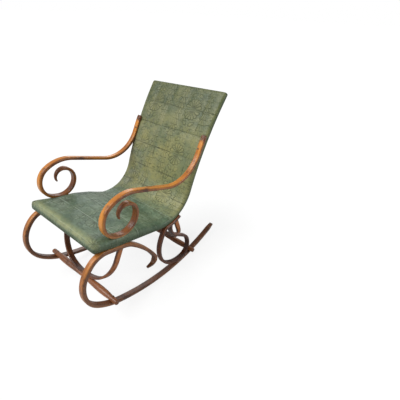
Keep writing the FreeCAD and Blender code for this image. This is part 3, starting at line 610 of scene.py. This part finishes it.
for name in ARMS:
    note_grain(name, [(ARM_LINE, 1.0)], in_side_view, ((0.0, 0.040, 2.4), (ARM_LINE.length, 0.130, 1.0)))
for name in SCROLLS:
    note_grain(name, [(LOOP_LINE, 1.0)], in_side_view)
for name in BASES:
    note_grain(name, [(BASE_FORWARD, 1.0), (BASE_REARWARD, -1.0)], in_side_view,
               ((-BASE_REARWARD.length, 0.060, 1.6), (BASE_FORWARD.length, 0.040, 1.2)))
for name in HOOPS:
    note_grain(name, [(HOOP_LINE, 1.0)], in_hoop_plane(name))
for name in STRETCHERS:
    note_turned_grain(name)


class Wiring:
    """Adds nodes to a shader tree; what goes into a socket is a number, a colour or another node's output."""

    def __init__(self, tree):
        self.tree = tree

    def new(self, kind):
        return self.tree.nodes.new("ShaderNode" + kind)

    def put(self, socket, value):
        if isinstance(value, bpy.types.NodeSocket):
            self.tree.links.new(value, socket)
        else:
            socket.default_value = value

    def fill(self, node, **values):
        """Fill a node's inputs by name, each space written as an underscore, and hand back its outputs."""
        for name, value in values.items():
            self.put(node.inputs[name.replace("_", " ")], value)
        return node.outputs

    def group(self, tree, **values):
        node = self.new("Group")
        node.node_tree = tree
        return self.fill(node, **values)

    def attribute(self, name):
        node = self.new("Attribute")
        node.attribute_name = name
        return node.outputs

    def object_place(self):
        return self.new("TexCoord").outputs["Object"]

    def camera_ray(self):
        return self.new("LightPath").outputs["Is Camera Ray"]

    def math(self, operation, *values):
        node = self.new("Math")
        node.operation = operation
        for socket, value in zip(node.inputs, values):
            self.put(socket, value)
        return node.outputs[0]

    def add(self, a, b):
        return self.math("ADD", a, b)

    def less(self, a, b):
        return self.math("SUBTRACT", a, b)

    def times(self, a, b):
        return self.math("MULTIPLY", a, b)

    def size(self, a):
        return self.math("ABSOLUTE", a)

    def most(self, *values):
        result = values[0]
        for value in values[1:]:
            result = self.math("MAXIMUM", result, value)
        return result

    def ramp(self, value, low, high, first=0.0, last=1.0, kind="LINEAR"):
        """The first number up to the low value, the last one from the high value, even steps between."""
        node = self.new("MapRange")
        node.interpolation_type = kind
        return self.fill(node, Value=value, From_Min=low, From_Max=high, To_Min=first, To_Max=last)[0]

    def step(self, value, low, high, first=0.0, last=1.0):
        """A ramp with a soft start and end."""
        return self.ramp(value, low, high, first, last, "SMOOTHSTEP")

    def within(self, distance):
        """1 where a distance is below zero, 0 beyond."""
        return self.step(distance, -SOFT_EDGE, SOFT_EDGE, 1.0, 0.0)

    def off_centre(self, value, shift=0.0):
        """How far a value is from the nearest whole number, or from that number less the shift."""
        return self.less(self.math("FRACT", self.add(value, 0.5 + shift)), 0.5)

    def repeat(self, value, period, shift=0.0):
        """Distance from the nearest centre of a repeat, centres at whole periods when the shift is zero."""
        return self.times(self.off_centre(self.math("DIVIDE", value, period), shift), period)

    def line(self, distance, half_width):
        """1 on a drawn line, 0 away from it."""
        return self.step(self.size(distance), half_width * 0.5, half_width * 1.5, 1.0, 0.0)

    def length(self, a, b):
        return self.math("SQRT", self.add(self.times(a, a), self.times(b, b)))

    def vector(self, x, y, z):
        return self.fill(self.new("CombineXYZ"), X=x, Y=y, Z=z)[0]

    def split(self, vector):
        return self.fill(self.new("SeparateXYZ"), Vector=vector)

    def noise(self, place, scale, detail=3.0, rough=0.5):
        node = self.new("TexNoise")
        return self.fill(node, Vector=place, Scale=scale, Detail=detail, Roughness=rough)["Fac"]

    def blend(self, share, first, last):
        """A colour between two others."""
        node = self.new("Mix")
        node.data_type = "RGBA"
        for number, value in ((0, share), (6, first), (7, last)):
            self.put(node.inputs[number], value)
        return node.outputs[2]

    def coat(self, below, mask, strength, colour):
        """A colour laid over the one below where a mask is, at most as strongly as told."""
        return self.blend(self.times(mask, strength), below, colour)

    def bump(self, height, distance, strength, below=None):
        node = self.new("Bump")
        if below is not None:
            self.put(node.inputs["Normal"], below)
        return self.fill(node, Height=height, Distance=distance, Strength=strength)["Normal"]

    def mixed_shader(self, share, first, last):
        node = self.new("MixShader")
        for socket, value in zip(node.inputs, (share, first, last)):
            self.put(socket, value)
        return node.outputs[0]


class ShaderGroup(Wiring):
    """A node group with named inputs and outputs."""

    def __init__(self, name):
        super().__init__(bpy.data.node_groups.new(name, "ShaderNodeTree"))
        self.source = self.tree.nodes.new("NodeGroupInput")
        self.sink = self.tree.nodes.new("NodeGroupOutput")

    def takes(self, name, kind, default=None):
        socket = self.tree.interface.new_socket(name=name, in_out="INPUT", socket_type="NodeSocket" + kind)
        if default is not None:
            socket.default_value = default
        return self.source.outputs[name]

    def gives(self, name, kind, value):
        self.tree.interface.new_socket(name=name, in_out="OUTPUT", socket_type="NodeSocket" + kind)
        self.tree.links.new(value, self.sink.inputs[name])


class Surface(Wiring):
    """A material and its Principled shader."""

    def __init__(self, name):
        self.material = bpy.data.materials.new(name)
        self.material.use_nodes = True
        super().__init__(self.material.node_tree)
        self.shader = self.tree.nodes["Principled BSDF"]

    def shade(self, **values):
        return self.fill(self.shader, **values)[0]


def fan_lines(sums, across, far):
    """A fan's drawn lines, its inside, and how far each place is from its hub."""
    lift = sums.less(far, FAN_LIFT)
    radius = sums.length(across, lift)
    ahead = sums.step(lift, -0.002, 0.002)
    petal = sums.off_centre(sums.math("DIVIDE", sums.math("ARCTAN2", across, lift), PETAL_ANGLE))
    to_gap = sums.times(sums.times(sums.less(0.5, sums.size(petal)), PETAL_ANGLE), radius)
    rim = sums.less(radius, sums.less(FAN_RADIUS, sums.times(sums.times(petal, petal), PETAL_SCALLOP)))
    in_fan = sums.times(sums.within(rim), ahead)
    ribs = sums.times(sums.line(to_gap, RIB_LINE), in_fan)
    hub = sums.line(sums.less(radius, HUB_RADIUS), HUB_LINE)
    return sums.times(sums.most(ribs, sums.line(rim, RIM_LINE), hub), ahead), in_fan, radius


def leaf_lines(sums, across, v):
    """The drawn lines of a column of slanting leaves, and their inside."""
    beside = sums.less(across, LEAF_COLUMN)
    slanted = sums.add(v, sums.times(sums.size(beside), LEAF_SLANT))
    saw = sums.size(sums.repeat(slanted, LEAF_PITCH))
    to_leaf = sums.less(sums.size(beside), sums.add(LEAF_HALF_WIDTH, sums.times(saw, LEAF_SPREAD)))
    in_leaf = sums.within(to_leaf)
    stem = sums.times(sums.line(beside, STEM_LINE), in_leaf)
    return sums.most(sums.line(to_leaf, LEAF_LINE), stem), in_leaf


def contours(sums, across, far, level, scale, detail, rings):
    """Curls that are mirrored with the motif: zero on the contour lines of a noise, from -0.5 to 0.5."""
    noise = sums.noise(sums.vector(across, far, level), scale, detail)
    return sums.less(sums.math("FRACT", sums.times(noise, rings)), 0.5)


def damask_group():
    """Embossed ornament: pairs of fans between leaf columns, in mirrored foliage."""
    sums = ShaderGroup("damask_embossing")
    place = sums.takes("Cover place", "Vector")
    u, v, _ = sums.split(place)
    wobble = sums.times(sums.less(sums.noise(place, 16.0, detail=2.0), 0.5), MOTIF_WOBBLE)
    u = sums.add(sums.less(u, MOTIF_AT[0]), wobble)
    v = sums.add(sums.less(v, MOTIF_AT[1]), wobble)
    across = sums.size(sums.repeat(u, MOTIF_ACROSS))
    far = sums.size(sums.repeat(v, MOTIF_ALONG))
    fan, in_fan, radius = fan_lines(sums, across, far)
    leaf, in_leaf = leaf_lines(sums, across, v)
    outside = sums.times(sums.step(radius, *FOLIAGE_STARTS), sums.less(1.0, in_leaf))
    foliage = contours(sums, across, far, level=0.37, scale=23.0, detail=1.0, rings=4.2)
    curls = sums.times(sums.line(foliage, 0.12), outside)
    in_curls = sums.times(sums.step(foliage, -0.05, 0.05), outside)
    fine = contours(sums, across, far, level=1.7, scale=75.0, detail=2.0, rings=4.0)
    strokes = sums.line(fine, 0.14)
    faded = sums.step(sums.noise(place, 8.0), 0.32, 0.55, 0.40, 1.0)
    lines = sums.most(sums.times(fan, 0.85), sums.times(leaf, 0.72), sums.times(curls, 0.62),
                      sums.times(strokes, 0.26))
    raised = sums.most(sums.times(in_fan, 0.8), sums.times(in_leaf, 0.8), sums.times(in_curls, 0.7))
    sums.gives("Lines", "Float", sums.times(lines, faded))
    sums.gives("Raised", "Float", sums.times(raised, faded))
    return sums.tree


def seam_group():
    """The grid of shallow creases that the cover is pressed along, and the band beside them where shade is
    painted.
    """
    sums = ShaderGroup("cover_creases")
    place = sums.takes("Cover place", "Vector")
    u, v, _ = sums.split(place)
    wander = sums.times(sums.less(sums.noise(place, 7.0, detail=2.0), 0.5), CREASE_WANDER)
    across = sums.repeat(sums.add(u, wander), SEAM_ACROSS, 0.5)
    along = sums.repeat(sums.less(sums.add(v, wander), SEAM_START), SEAM_ALONG)
    sharp = sums.noise(place, 11.0)
    broken = sums.step(sharp, 0.46, 0.62, 0.0, 0.9)
    mostly = sums.step(sharp, 0.34, 0.56, 0.25, 1.0)

    def both(across_line, along_line):
        return sums.most(sums.times(sums.line(across, across_line), broken),
                         sums.times(sums.line(along, along_line), mostly))

    sums.gives("Crease", "Float", both(CREASE_ACROSS_LINE, CREASE_ALONG_LINE))
    sums.gives("Beside", "Float", both(BESIDE_LINE, BESIDE_LINE))
    return sums.tree


def gathered_folds(sums, place, u, v):
    """The folds down the sides and the front, and the ones that fan out at the two front corners."""
    shift = sums.times(sums.noise(place, 24.0, detail=2.0), FOLD_WANDER)
    side_fold = sums.size(sums.repeat(sums.add(v, shift), SIDE_FOLD))
    front_fold = sums.size(sums.repeat(sums.add(u, shift), FRONT_FOLD))
    from_corner = sums.less(sums.size(u), CORNER_AT)
    corner = sums.length(from_corner, v)
    turned = sums.add(sums.times(sums.math("ARCTAN2", from_corner, v), CORNER_FOLDS), shift)
    corner_fold = sums.size(sums.less(sums.math("FRACT", turned), 0.5))
    return sums.most(sums.times(side_fold, sums.step(sums.size(u), *SIDE_FOLDS_START)),
                     sums.times(front_fold, sums.step(v, *FRONT_FOLDS_START, 1.0, 0.0)),
                     sums.times(corner_fold, sums.step(corner, *CORNER_FOLDS_END, CORNER_FOLD, 0.0)))


def wear_and_shading_group():
    """The rubbed front roll with a painted highlight, blotches with painted sheen, mottling, the gathered
    folds, where shade is painted, and the turned-under front, where shade is painted.
    """
    sums = ShaderGroup("leatherette_wear")
    place = sums.takes("Cover place", "Vector")
    u, v, _ = sums.split(place)
    front = sums.times(sums.step(v, *RUBBED_AND_LIT_STARTS), sums.step(v, *RUBBED_AND_LIT_ENDS, 1.0, 0.0))
    soft = sums.noise(place, 26.0, detail=6.0, rough=0.68)
    broad = sums.noise(place, 9.0, detail=4.0, rough=0.62)
    mottled = sums.noise(place, 26.0, detail=5.0, rough=0.65)
    sums.gives("Rubbed_and_lit", "Float", sums.times(front, sums.step(soft, 0.30, 0.66, 0.25, 1.0)))
    sums.gives("Blotches_and_sheen", "Float", sums.step(broad, 0.32, 0.68))
    sums.gives("Mottling", "Float", sums.step(mottled, 0.30, 0.70))
    sums.gives("Puckers", "Float", sums.times(gathered_folds(sums, place, u, v), PUCKER_STRENGTH))
    sums.gives("Underside", "Float", sums.step(v, *UNDERSIDE_STARTS, 1.0, 0.0))
    return sums.tree


def wood_group():
    """Varnished bent wood: grain along the strip, streaks, pores, grime, light flecks, and the darker places.

    Those are the edges, darkened for staining and painted shade, the stained ends, the hollow side of a bend,
    darkened as painted shade with some grime, and the strip from "Darker from" on.
    """
    sums = ShaderGroup("bent_wood")
    grain = sums.takes("Grain place", "Vector")
    light = sums.takes("Light wood", "Color", (0.5, 0.25, 0.08, 1.0))
    middle = sums.takes("Middle wood", "Color", (0.28, 0.12, 0.04, 1.0))
    dark = sums.takes("Dark wood", "Color", (0.06, 0.03, 0.02, 1.0))
    grime = sums.takes("Grime", "Float", 0.4)
    stain_and_shade = sums.takes("Stain", "Float", 0.0)
    darker_from = sums.takes("Darker from", "Float", BEYOND_ANY_END)
    x, through, along = sums.split(grain)

    def fibrous(across_scale, along_scale, detail, rough=0.5):
        """A noise that is drawn out along the strip."""
        drawn_out = sums.vector(sums.times(x, across_scale), sums.times(through, across_scale),
                                sums.times(along, along_scale))
        return sums.noise(drawn_out, 1.0, detail, rough)

    streaks = fibrous(260.0, 9.0, detail=5.0, rough=0.6)
    broad = fibrous(70.0, 6.0, detail=4.0, rough=0.55)
    patches = fibrous(30.0, 16.0, detail=5.0, rough=0.65)
    pores = sums.step(fibrous(900.0, 45.0, detail=2.0), 0.62, 0.72)
    flecks = sums.noise(sums.vector(x, through, along), 330.0, detail=1.0)
    colour = sums.blend(sums.step(broad, 0.32, 0.66), middle, light)
    colour = sums.coat(colour, sums.step(streaks, 0.45, 0.75), 0.5, middle)
    far = sums.step(along, darker_from, sums.add(darker_from, DARKENING_RUN), 0.0, 0.5)
    colour = sums.blend(far, colour, sums.blend(0.35, middle, dark))
    # The hollow side of a bend is darkened as painted shade, with some grime
    hollow = sums.step(through, 0.0, HOLLOW_DEPTH, 0.0, 0.80)
    colour = sums.blend(hollow, colour, sums.blend(0.38, middle, dark))
    uneven = sums.step(patches, 0.34, 0.66, 0.52, 1.0)
    # The edges are darkened as staining and painted shade, the ends as staining
    colour = sums.coat(colour, stain_and_shade, uneven, sums.blend(0.74, middle, dark))
    colour = sums.coat(colour, sums.step(patches, 0.50, 0.68), grime, dark)
    colour = sums.coat(colour, pores, 0.35, dark)
    colour = sums.blend(sums.step(flecks, 0.775, 0.80, 0.0, 0.7), colour, (0.62, 0.52, 0.40, 1.0))
    sums.gives("Colour", "Color", colour)
    sums.gives("Pores", "Float", pores)
    sums.gives("Patches", "Float", patches)
    sums.gives("Streaks", "Float", streaks)
    return sums.tree


DAMASK = damask_group()
CREASES = seam_group()
WEAR_AND_SHADING = wear_and_shading_group()
BENT_WOOD = wood_group()

# Leatherette colours: the seat's green is bluer than the back's partly as a painted reflection of the sky
SEAT_GREEN = (0.084, 0.138, 0.086, 1.0)
SEAT_SHEEN = (0.190, 0.262, 0.175, 1.0)
SEAT_DARK = (0.034, 0.064, 0.038, 1.0)
BACK_GREEN = (0.150, 0.180, 0.085, 1.0)
TOP_GREEN = (0.044, 0.070, 0.024, 1.0)
GREY_GREEN = (0.205, 0.222, 0.168, 1.0)
SHADED_SIDE_GREEN = (0.032, 0.055, 0.022, 1.0)
DEEP_GREEN = (0.035, 0.046, 0.018, 1.0)
GOLD = (0.340, 0.310, 0.110, 1.0)
RUBBED_AND_LIT_TAN = (0.400, 0.415, 0.210, 1.0)
CREASE_GLINT = (0.34, 0.42, 0.31, 1.0)


def cover_colour(surface, place, ornament, creases, wear_and_shading):
    """Green on the seat, bluer there partly as a painted sky sheen, and golden on the back; then the
    ornament, the creases with painted glints and painted shade, the rubbed and mottled places, and painted
    sheen, highlights and shade.
    """
    u, v, _ = surface.split(place)
    on_back = surface.ramp(v, BACK_COLOUR_FROM, BACK_COLOUR_TO)
    near_top = surface.ramp(v, TOP_COLOUR_FROM, TOP_COLOUR_TO, 0.0, TOP_COLOUR_SHARE)
    far_side = surface.ramp(u, GREY_FROM, GREY_TO, 0.10, 0.85)

    def by_part(seat, back):
        """How strong something is, told for the seat and for the back."""
        return surface.ramp(on_back, 0.0, 1.0, seat, back)

    # The seat's light blotches are painted sheen over an uneven tone; on the back they turn golden
    seat = surface.blend(wear_and_shading["Blotches_and_sheen"], SEAT_GREEN, SEAT_SHEEN)
    seat = surface.coat(seat, wear_and_shading["Mottling"], 0.62, SEAT_DARK)
    back = surface.coat(BACK_GREEN, wear_and_shading["Mottling"], far_side, GREY_GREEN)
    green = surface.blend(on_back, seat, back)
    green = surface.blend(near_top, green, TOP_GREEN)
    # The golden patches on the back are partly rubbed gold and partly a painted highlight
    golden = surface.times(wear_and_shading["Blotches_and_sheen"], by_part(0.06, 0.62))
    green = surface.coat(green, golden, surface.ramp(near_top, 0.0, 1.0, 1.0, 0.35), GOLD)
    # The raised ornament turns golder: rubbed gold with a painted glint
    green = surface.coat(green, ornament["Raised"], by_part(0.05, 0.16), GOLD)
    green = surface.coat(green, ornament["Lines"], by_part(0.75, 0.84), DEEP_GREEN)
    # A band beside each crease is darkened as painted shade
    green = surface.coat(green, creases["Beside"], 0.20, DEEP_GREEN)
    # On the seat the creases are lightened as a painted glint
    green = surface.coat(green, creases["Crease"], by_part(0.95, 0.0), CREASE_GLINT)
    # On the back the creases are darkened as painted shade
    crease_shade = surface.times(on_back, surface.ramp(near_top, 0.0, TOP_COLOUR_SHARE, 0.62, 0.28))
    green = surface.coat(green, creases["Crease"], crease_shade, DEEP_GREEN)
    # The front roll turns tan: rubbed, and partly a painted highlight
    green = surface.coat(green, wear_and_shading["Rubbed_and_lit"], 0.75, RUBBED_AND_LIT_TAN)
    # The gathered folds are darkened as painted shade
    green = surface.coat(green, wear_and_shading["Puckers"], 0.45, DEEP_GREEN)
    # The side walls and the turned-under front are darkened as painted shade
    on_wall = surface.ramp(surface.attribute("wall")["Fac"], 0.12, 0.65)
    return surface.coat(green, surface.most(wear_and_shading["Underside"], on_wall), 0.80, SHADED_SIDE_GREEN)


def cover_relief(surface, place, ornament, creases, wear_and_shading):
    """Raised ornament, sunk lines and creases, gathered folds, and a fine pebbling over all of it."""
    height = surface.less(ornament["Raised"], surface.times(ornament["Lines"], 1.4))
    height = surface.less(height, surface.times(creases["Crease"], 1.6))
    pebbles = surface.fill(surface.new("TexVoronoi"), Vector=place, Scale=420.0)["Distance"]
    relief = surface.bump(height, distance=0.0009, strength=0.9)
    relief = surface.bump(wear_and_shading["Puckers"], distance=0.0026, strength=0.8, below=relief)
    return surface.bump(pebbles, distance=0.0002, strength=0.35, below=relief)


def leatherette():
    surface = Surface("damask_leatherette")
    cover_map = surface.new("UVMap")
    cover_map.uv_map = "cover"
    place = cover_map.outputs["UV"]
    ornament = surface.group(DAMASK, Cover_place=place)
    creases = surface.group(CREASES, Cover_place=place)
    wear_and_shading = surface.group(WEAR_AND_SHADING, Cover_place=place)
    surface.shade(Base_Color=cover_colour(surface, place, ornament, creases, wear_and_shading),
                  Roughness=surface.ramp(ornament["Lines"], 0.0, 1.0, 0.38, 0.55),
                  Specular_IOR_Level=0.32, Coat_Weight=0.1, Coat_Roughness=0.3,
                  Normal=cover_relief(surface, place, ornament, creases, wear_and_shading))
    return surface.material


def varnished_wood(name, light, middle, dark, grime, roughness, darker_from=BEYOND_ANY_END):
    surface = Surface(name)
    wood = surface.group(BENT_WOOD, Grain_place=surface.attribute("grain")["Vector"],
                         Stain=surface.attribute("stain_and_shade")["Fac"], Light_wood=light, Middle_wood=middle,
                         Dark_wood=dark, Grime=grime, Darker_from=darker_from)
    corner = surface.new("Bevel")
    corner.samples = 8
    rounded = surface.fill(corner, Radius=CORNER_ROUNDING)["Normal"]
    fibres = surface.bump(wood["Streaks"], distance=0.0003, strength=0.25, below=rounded)
    fibres = surface.bump(wood["Pores"], distance=0.0002, strength=0.3, below=fibres)
    worn = surface.ramp(wood["Patches"], 0.35, 0.75, roughness, roughness + WORN_ROUGHER)
    surface.shade(Base_Color=wood["Colour"], Roughness=worn, Specular_IOR_Level=0.25, Normal=fibres,
                  Coat_Weight=0.42, Coat_Roughness=0.17, Coat_Normal=rounded)
    return surface.material


def plain_wood():
    surface = Surface("raw_frame_wood")
    noise = surface.noise(surface.object_place(), 30.0, detail=6.0)
    colour = surface.blend(noise, (0.50, 0.36, 0.21, 1.0), (0.36, 0.24, 0.13, 1.0))
    surface.shade(Base_Color=colour, Roughness=0.7)
    return surface.material


def woven(name, thread, gap, pitch):
    surface = Surface(name)
    place = surface.object_place()
    waves = []
    for axis in ("X", "Y"):
        wave = surface.new("TexWave")
        wave.bands_direction = axis
        waves.append(surface.fill(wave, Vector=place, Scale=ONE_WAVE / pitch, Distortion=0.6)["Fac"])
    weave = surface.times(waves[0], waves[1])
    surface.shade(Base_Color=surface.blend(weave, gap, thread), Roughness=0.9,
                  Normal=surface.bump(weave, distance=0.0004, strength=0.6))
    return surface.material


def dull_metal(name, clean, tarnish):
    surface = Surface(name)
    noise = surface.noise(surface.object_place(), 260.0, detail=4.0)
    colour = surface.blend(surface.ramp(noise, 0.4, 0.65), clean, tarnish)
    worn = surface.ramp(noise, 0.3, 0.7, METAL_ROUGHNESS, METAL_ROUGHNESS + WORN_ROUGHER)
    surface.shade(Base_Color=colour, Roughness=worn, Metallic=1.0)
    return surface.material


def dress(pieces, material):
    for piece in pieces:
        piece.data.materials.clear()
        piece.data.materials.append(material)


def dress_nodes(names, material):
    dress([nodes[name] for name in names], material)


dress([make_cover()], leatherette())
dress_nodes(ARMS, varnished_wood(
    "arm_wood", light=(0.66, 0.262, 0.042, 1.0), middle=(0.38, 0.120, 0.018, 1.0),
    dark=(0.060, 0.018, 0.010, 1.0), grime=0.75, roughness=0.26, darker_from=0.95))
# The rear scrolls get a much darker copy of the wood, partly as painted shade for their place under the seat
dress_nodes(SCROLLS, varnished_wood(
    "scroll_wood", light=(0.23, 0.070, 0.022, 1.0), middle=(0.125, 0.036, 0.013, 1.0),
    dark=(0.028, 0.010, 0.006, 1.0), grime=0.6, roughness=0.28))
# Along the rockers the base wood is darkened, partly as painted shade
dress_nodes(BASES, varnished_wood(
    "base_wood", light=(0.54, 0.212, 0.050, 1.0), middle=(0.29, 0.098, 0.024, 1.0),
    dark=(0.045, 0.018, 0.012, 1.0), grime=0.65, roughness=0.28, darker_from=0.34))
dress_nodes(HOOPS, varnished_wood(
    "hoop_wood", light=(0.46, 0.155, 0.034, 1.0), middle=(0.25, 0.076, 0.019, 1.0),
    dark=(0.035, 0.013, 0.008, 1.0), grime=0.65, roughness=0.28))
dress_nodes(STRETCHERS, varnished_wood(
    "stretcher_wood", light=(0.48, 0.190, 0.070, 1.0), middle=(0.29, 0.105, 0.040, 1.0),
    dark=(0.050, 0.022, 0.014, 1.0), grime=0.6, roughness=0.32))
dress_nodes(FRAME_WOOD, plain_wood())
dress_nodes(("seat_webbing", "back_webbing"), woven(
    "jute_webbing", thread=(0.42, 0.31, 0.18, 1.0), gap=(0.16, 0.11, 0.06, 1.0), pitch=JUTE_PITCH))
dress_nodes(("underside_lining",), woven(
    "black_lining", thread=(0.035, 0.034, 0.032, 1.0), gap=(0.012, 0.012, 0.012, 1.0), pitch=LINING_PITCH))
dress_nodes(SCREWS, dull_metal(
    "screw_metal", clean=(0.22, 0.17, 0.12, 1.0), tarnish=(0.09, 0.055, 0.035, 1.0)))
dress_nodes(("lining_tacks",), dull_metal(
    "tack_metal", clean=(0.22, 0.21, 0.2, 1.0), tarnish=(0.09, 0.06, 0.045, 1.0)))


def stand_camera():
    """In front of the chair and to its left, looking down; the picture's axes are turned from the chair's."""
    pitch = math.radians(CAMERA_PITCH)
    roll = math.radians(CAMERA_ROLL)
    right = Vector((1.0, 0.0, 0.0))
    ahead = Vector((0.0, math.cos(pitch), -math.sin(pitch)))
    down = Vector((0.0, -math.sin(pitch), -math.cos(pitch)))
    rolled_right = right * math.cos(roll) + down * math.sin(roll)
    rolled_down = down * math.cos(roll) - right * math.sin(roll)
    turn = Matrix.Rotation(math.radians(CAMERA_TURN), 3, "Z")
    axes = [turn @ rolled_right, turn @ -rolled_down, turn @ -ahead]
    placing = Matrix(axes).transposed().to_4x4()
    placing.translation = CAMERA_AT
    data = bpy.data.cameras.new("camera")
    data.sensor_fit = "HORIZONTAL"
    data.sensor_width = SENSOR_WIDTH
    data.lens = SENSOR_WIDTH * LENS_WIDTHS
    data.clip_start = 0.05
    camera = bpy.data.objects.new("camera", data)
    camera.matrix_world = placing
    bpy.context.scene.collection.objects.link(camera)
    bpy.context.scene.camera = camera


def hang_light(data, direction, place=(0.0, 0.0, 0.0)):
    """A light shines along its own -Z, which is turned to the direction."""
    light = bpy.data.objects.new(data.name, data)
    light.location = place
    light.rotation_euler = Vector(direction).to_track_quat("-Z", "Y").to_euler()
    bpy.context.scene.collection.objects.link(light)


def hang_lamp(name, place, target, size, watts, colour):
    data = bpy.data.lights.new(name, "AREA")
    data.shape = "SQUARE"
    data.size = size
    data.energy = watts
    data.color = colour
    hang_light(data, Vector(target) - Vector(place), place)


def hang_sun(direction, strength, angle):
    data = bpy.data.lights.new("daylight", "SUN")
    data.energy = strength
    data.angle = math.radians(angle)
    hang_light(data, direction)


def white_world():
    """The camera sees plain white; the chair is lit by a softer grey."""
    world = bpy.data.worlds.new("studio")
    bpy.context.scene.world = world
    world.use_nodes = True
    world.node_tree.nodes.clear()
    wiring = Wiring(world.node_tree)
    seen = wiring.fill(wiring.new("Background"), Color=WHITE, Strength=1.0)[0]
    light = wiring.fill(wiring.new("Background"), Color=WHITE, Strength=0.38)[0]
    wiring.fill(wiring.new("OutputWorld"), Surface=wiring.mixed_shader(wiring.camera_ray(), light, seen))


def lay_floor():
    """A wide grey floor takes the shadows; for the camera a glow is mixed in, so it looks nearly white."""
    shape = bmesh.new()
    bmesh.ops.create_grid(shape, x_segments=1, y_segments=1, size=60.0)
    floor = new_object("floor", shape)
    surface = Surface("floor_white")
    grey = surface.shade(Base_Color=(0.55, 0.55, 0.55, 1.0), Roughness=0.9, Specular_IOR_Level=0.0)
    glow = surface.fill(surface.new("Emission"), Strength=1.25)[0]
    glowing = surface.times(surface.camera_ray(), 0.65)
    surface.fill(surface.tree.nodes["Material Output"], Surface=surface.mixed_shader(glowing, grey, glow))
    floor.data.materials.append(surface.material)


stand_camera()
hang_sun(direction=(0.35, 0.65, -1.0), strength=2.8, angle=50.0)
hang_lamp("far_sheen", place=(-2.6, 2.3, 1.8), target=(0.0, -0.1, 0.45), size=1.6, watts=18.0,
          colour=(0.93, 0.97, 1.0))
hang_lamp("side_sheen", place=(2.8, 1.4, 1.9), target=(0.2, 0.0, 0.4), size=1.2, watts=34.0,
          colour=(0.97, 1.0, 0.97))
white_world()
lay_floor()
bpy.context.scene.view_settings.view_transform = "Standard"
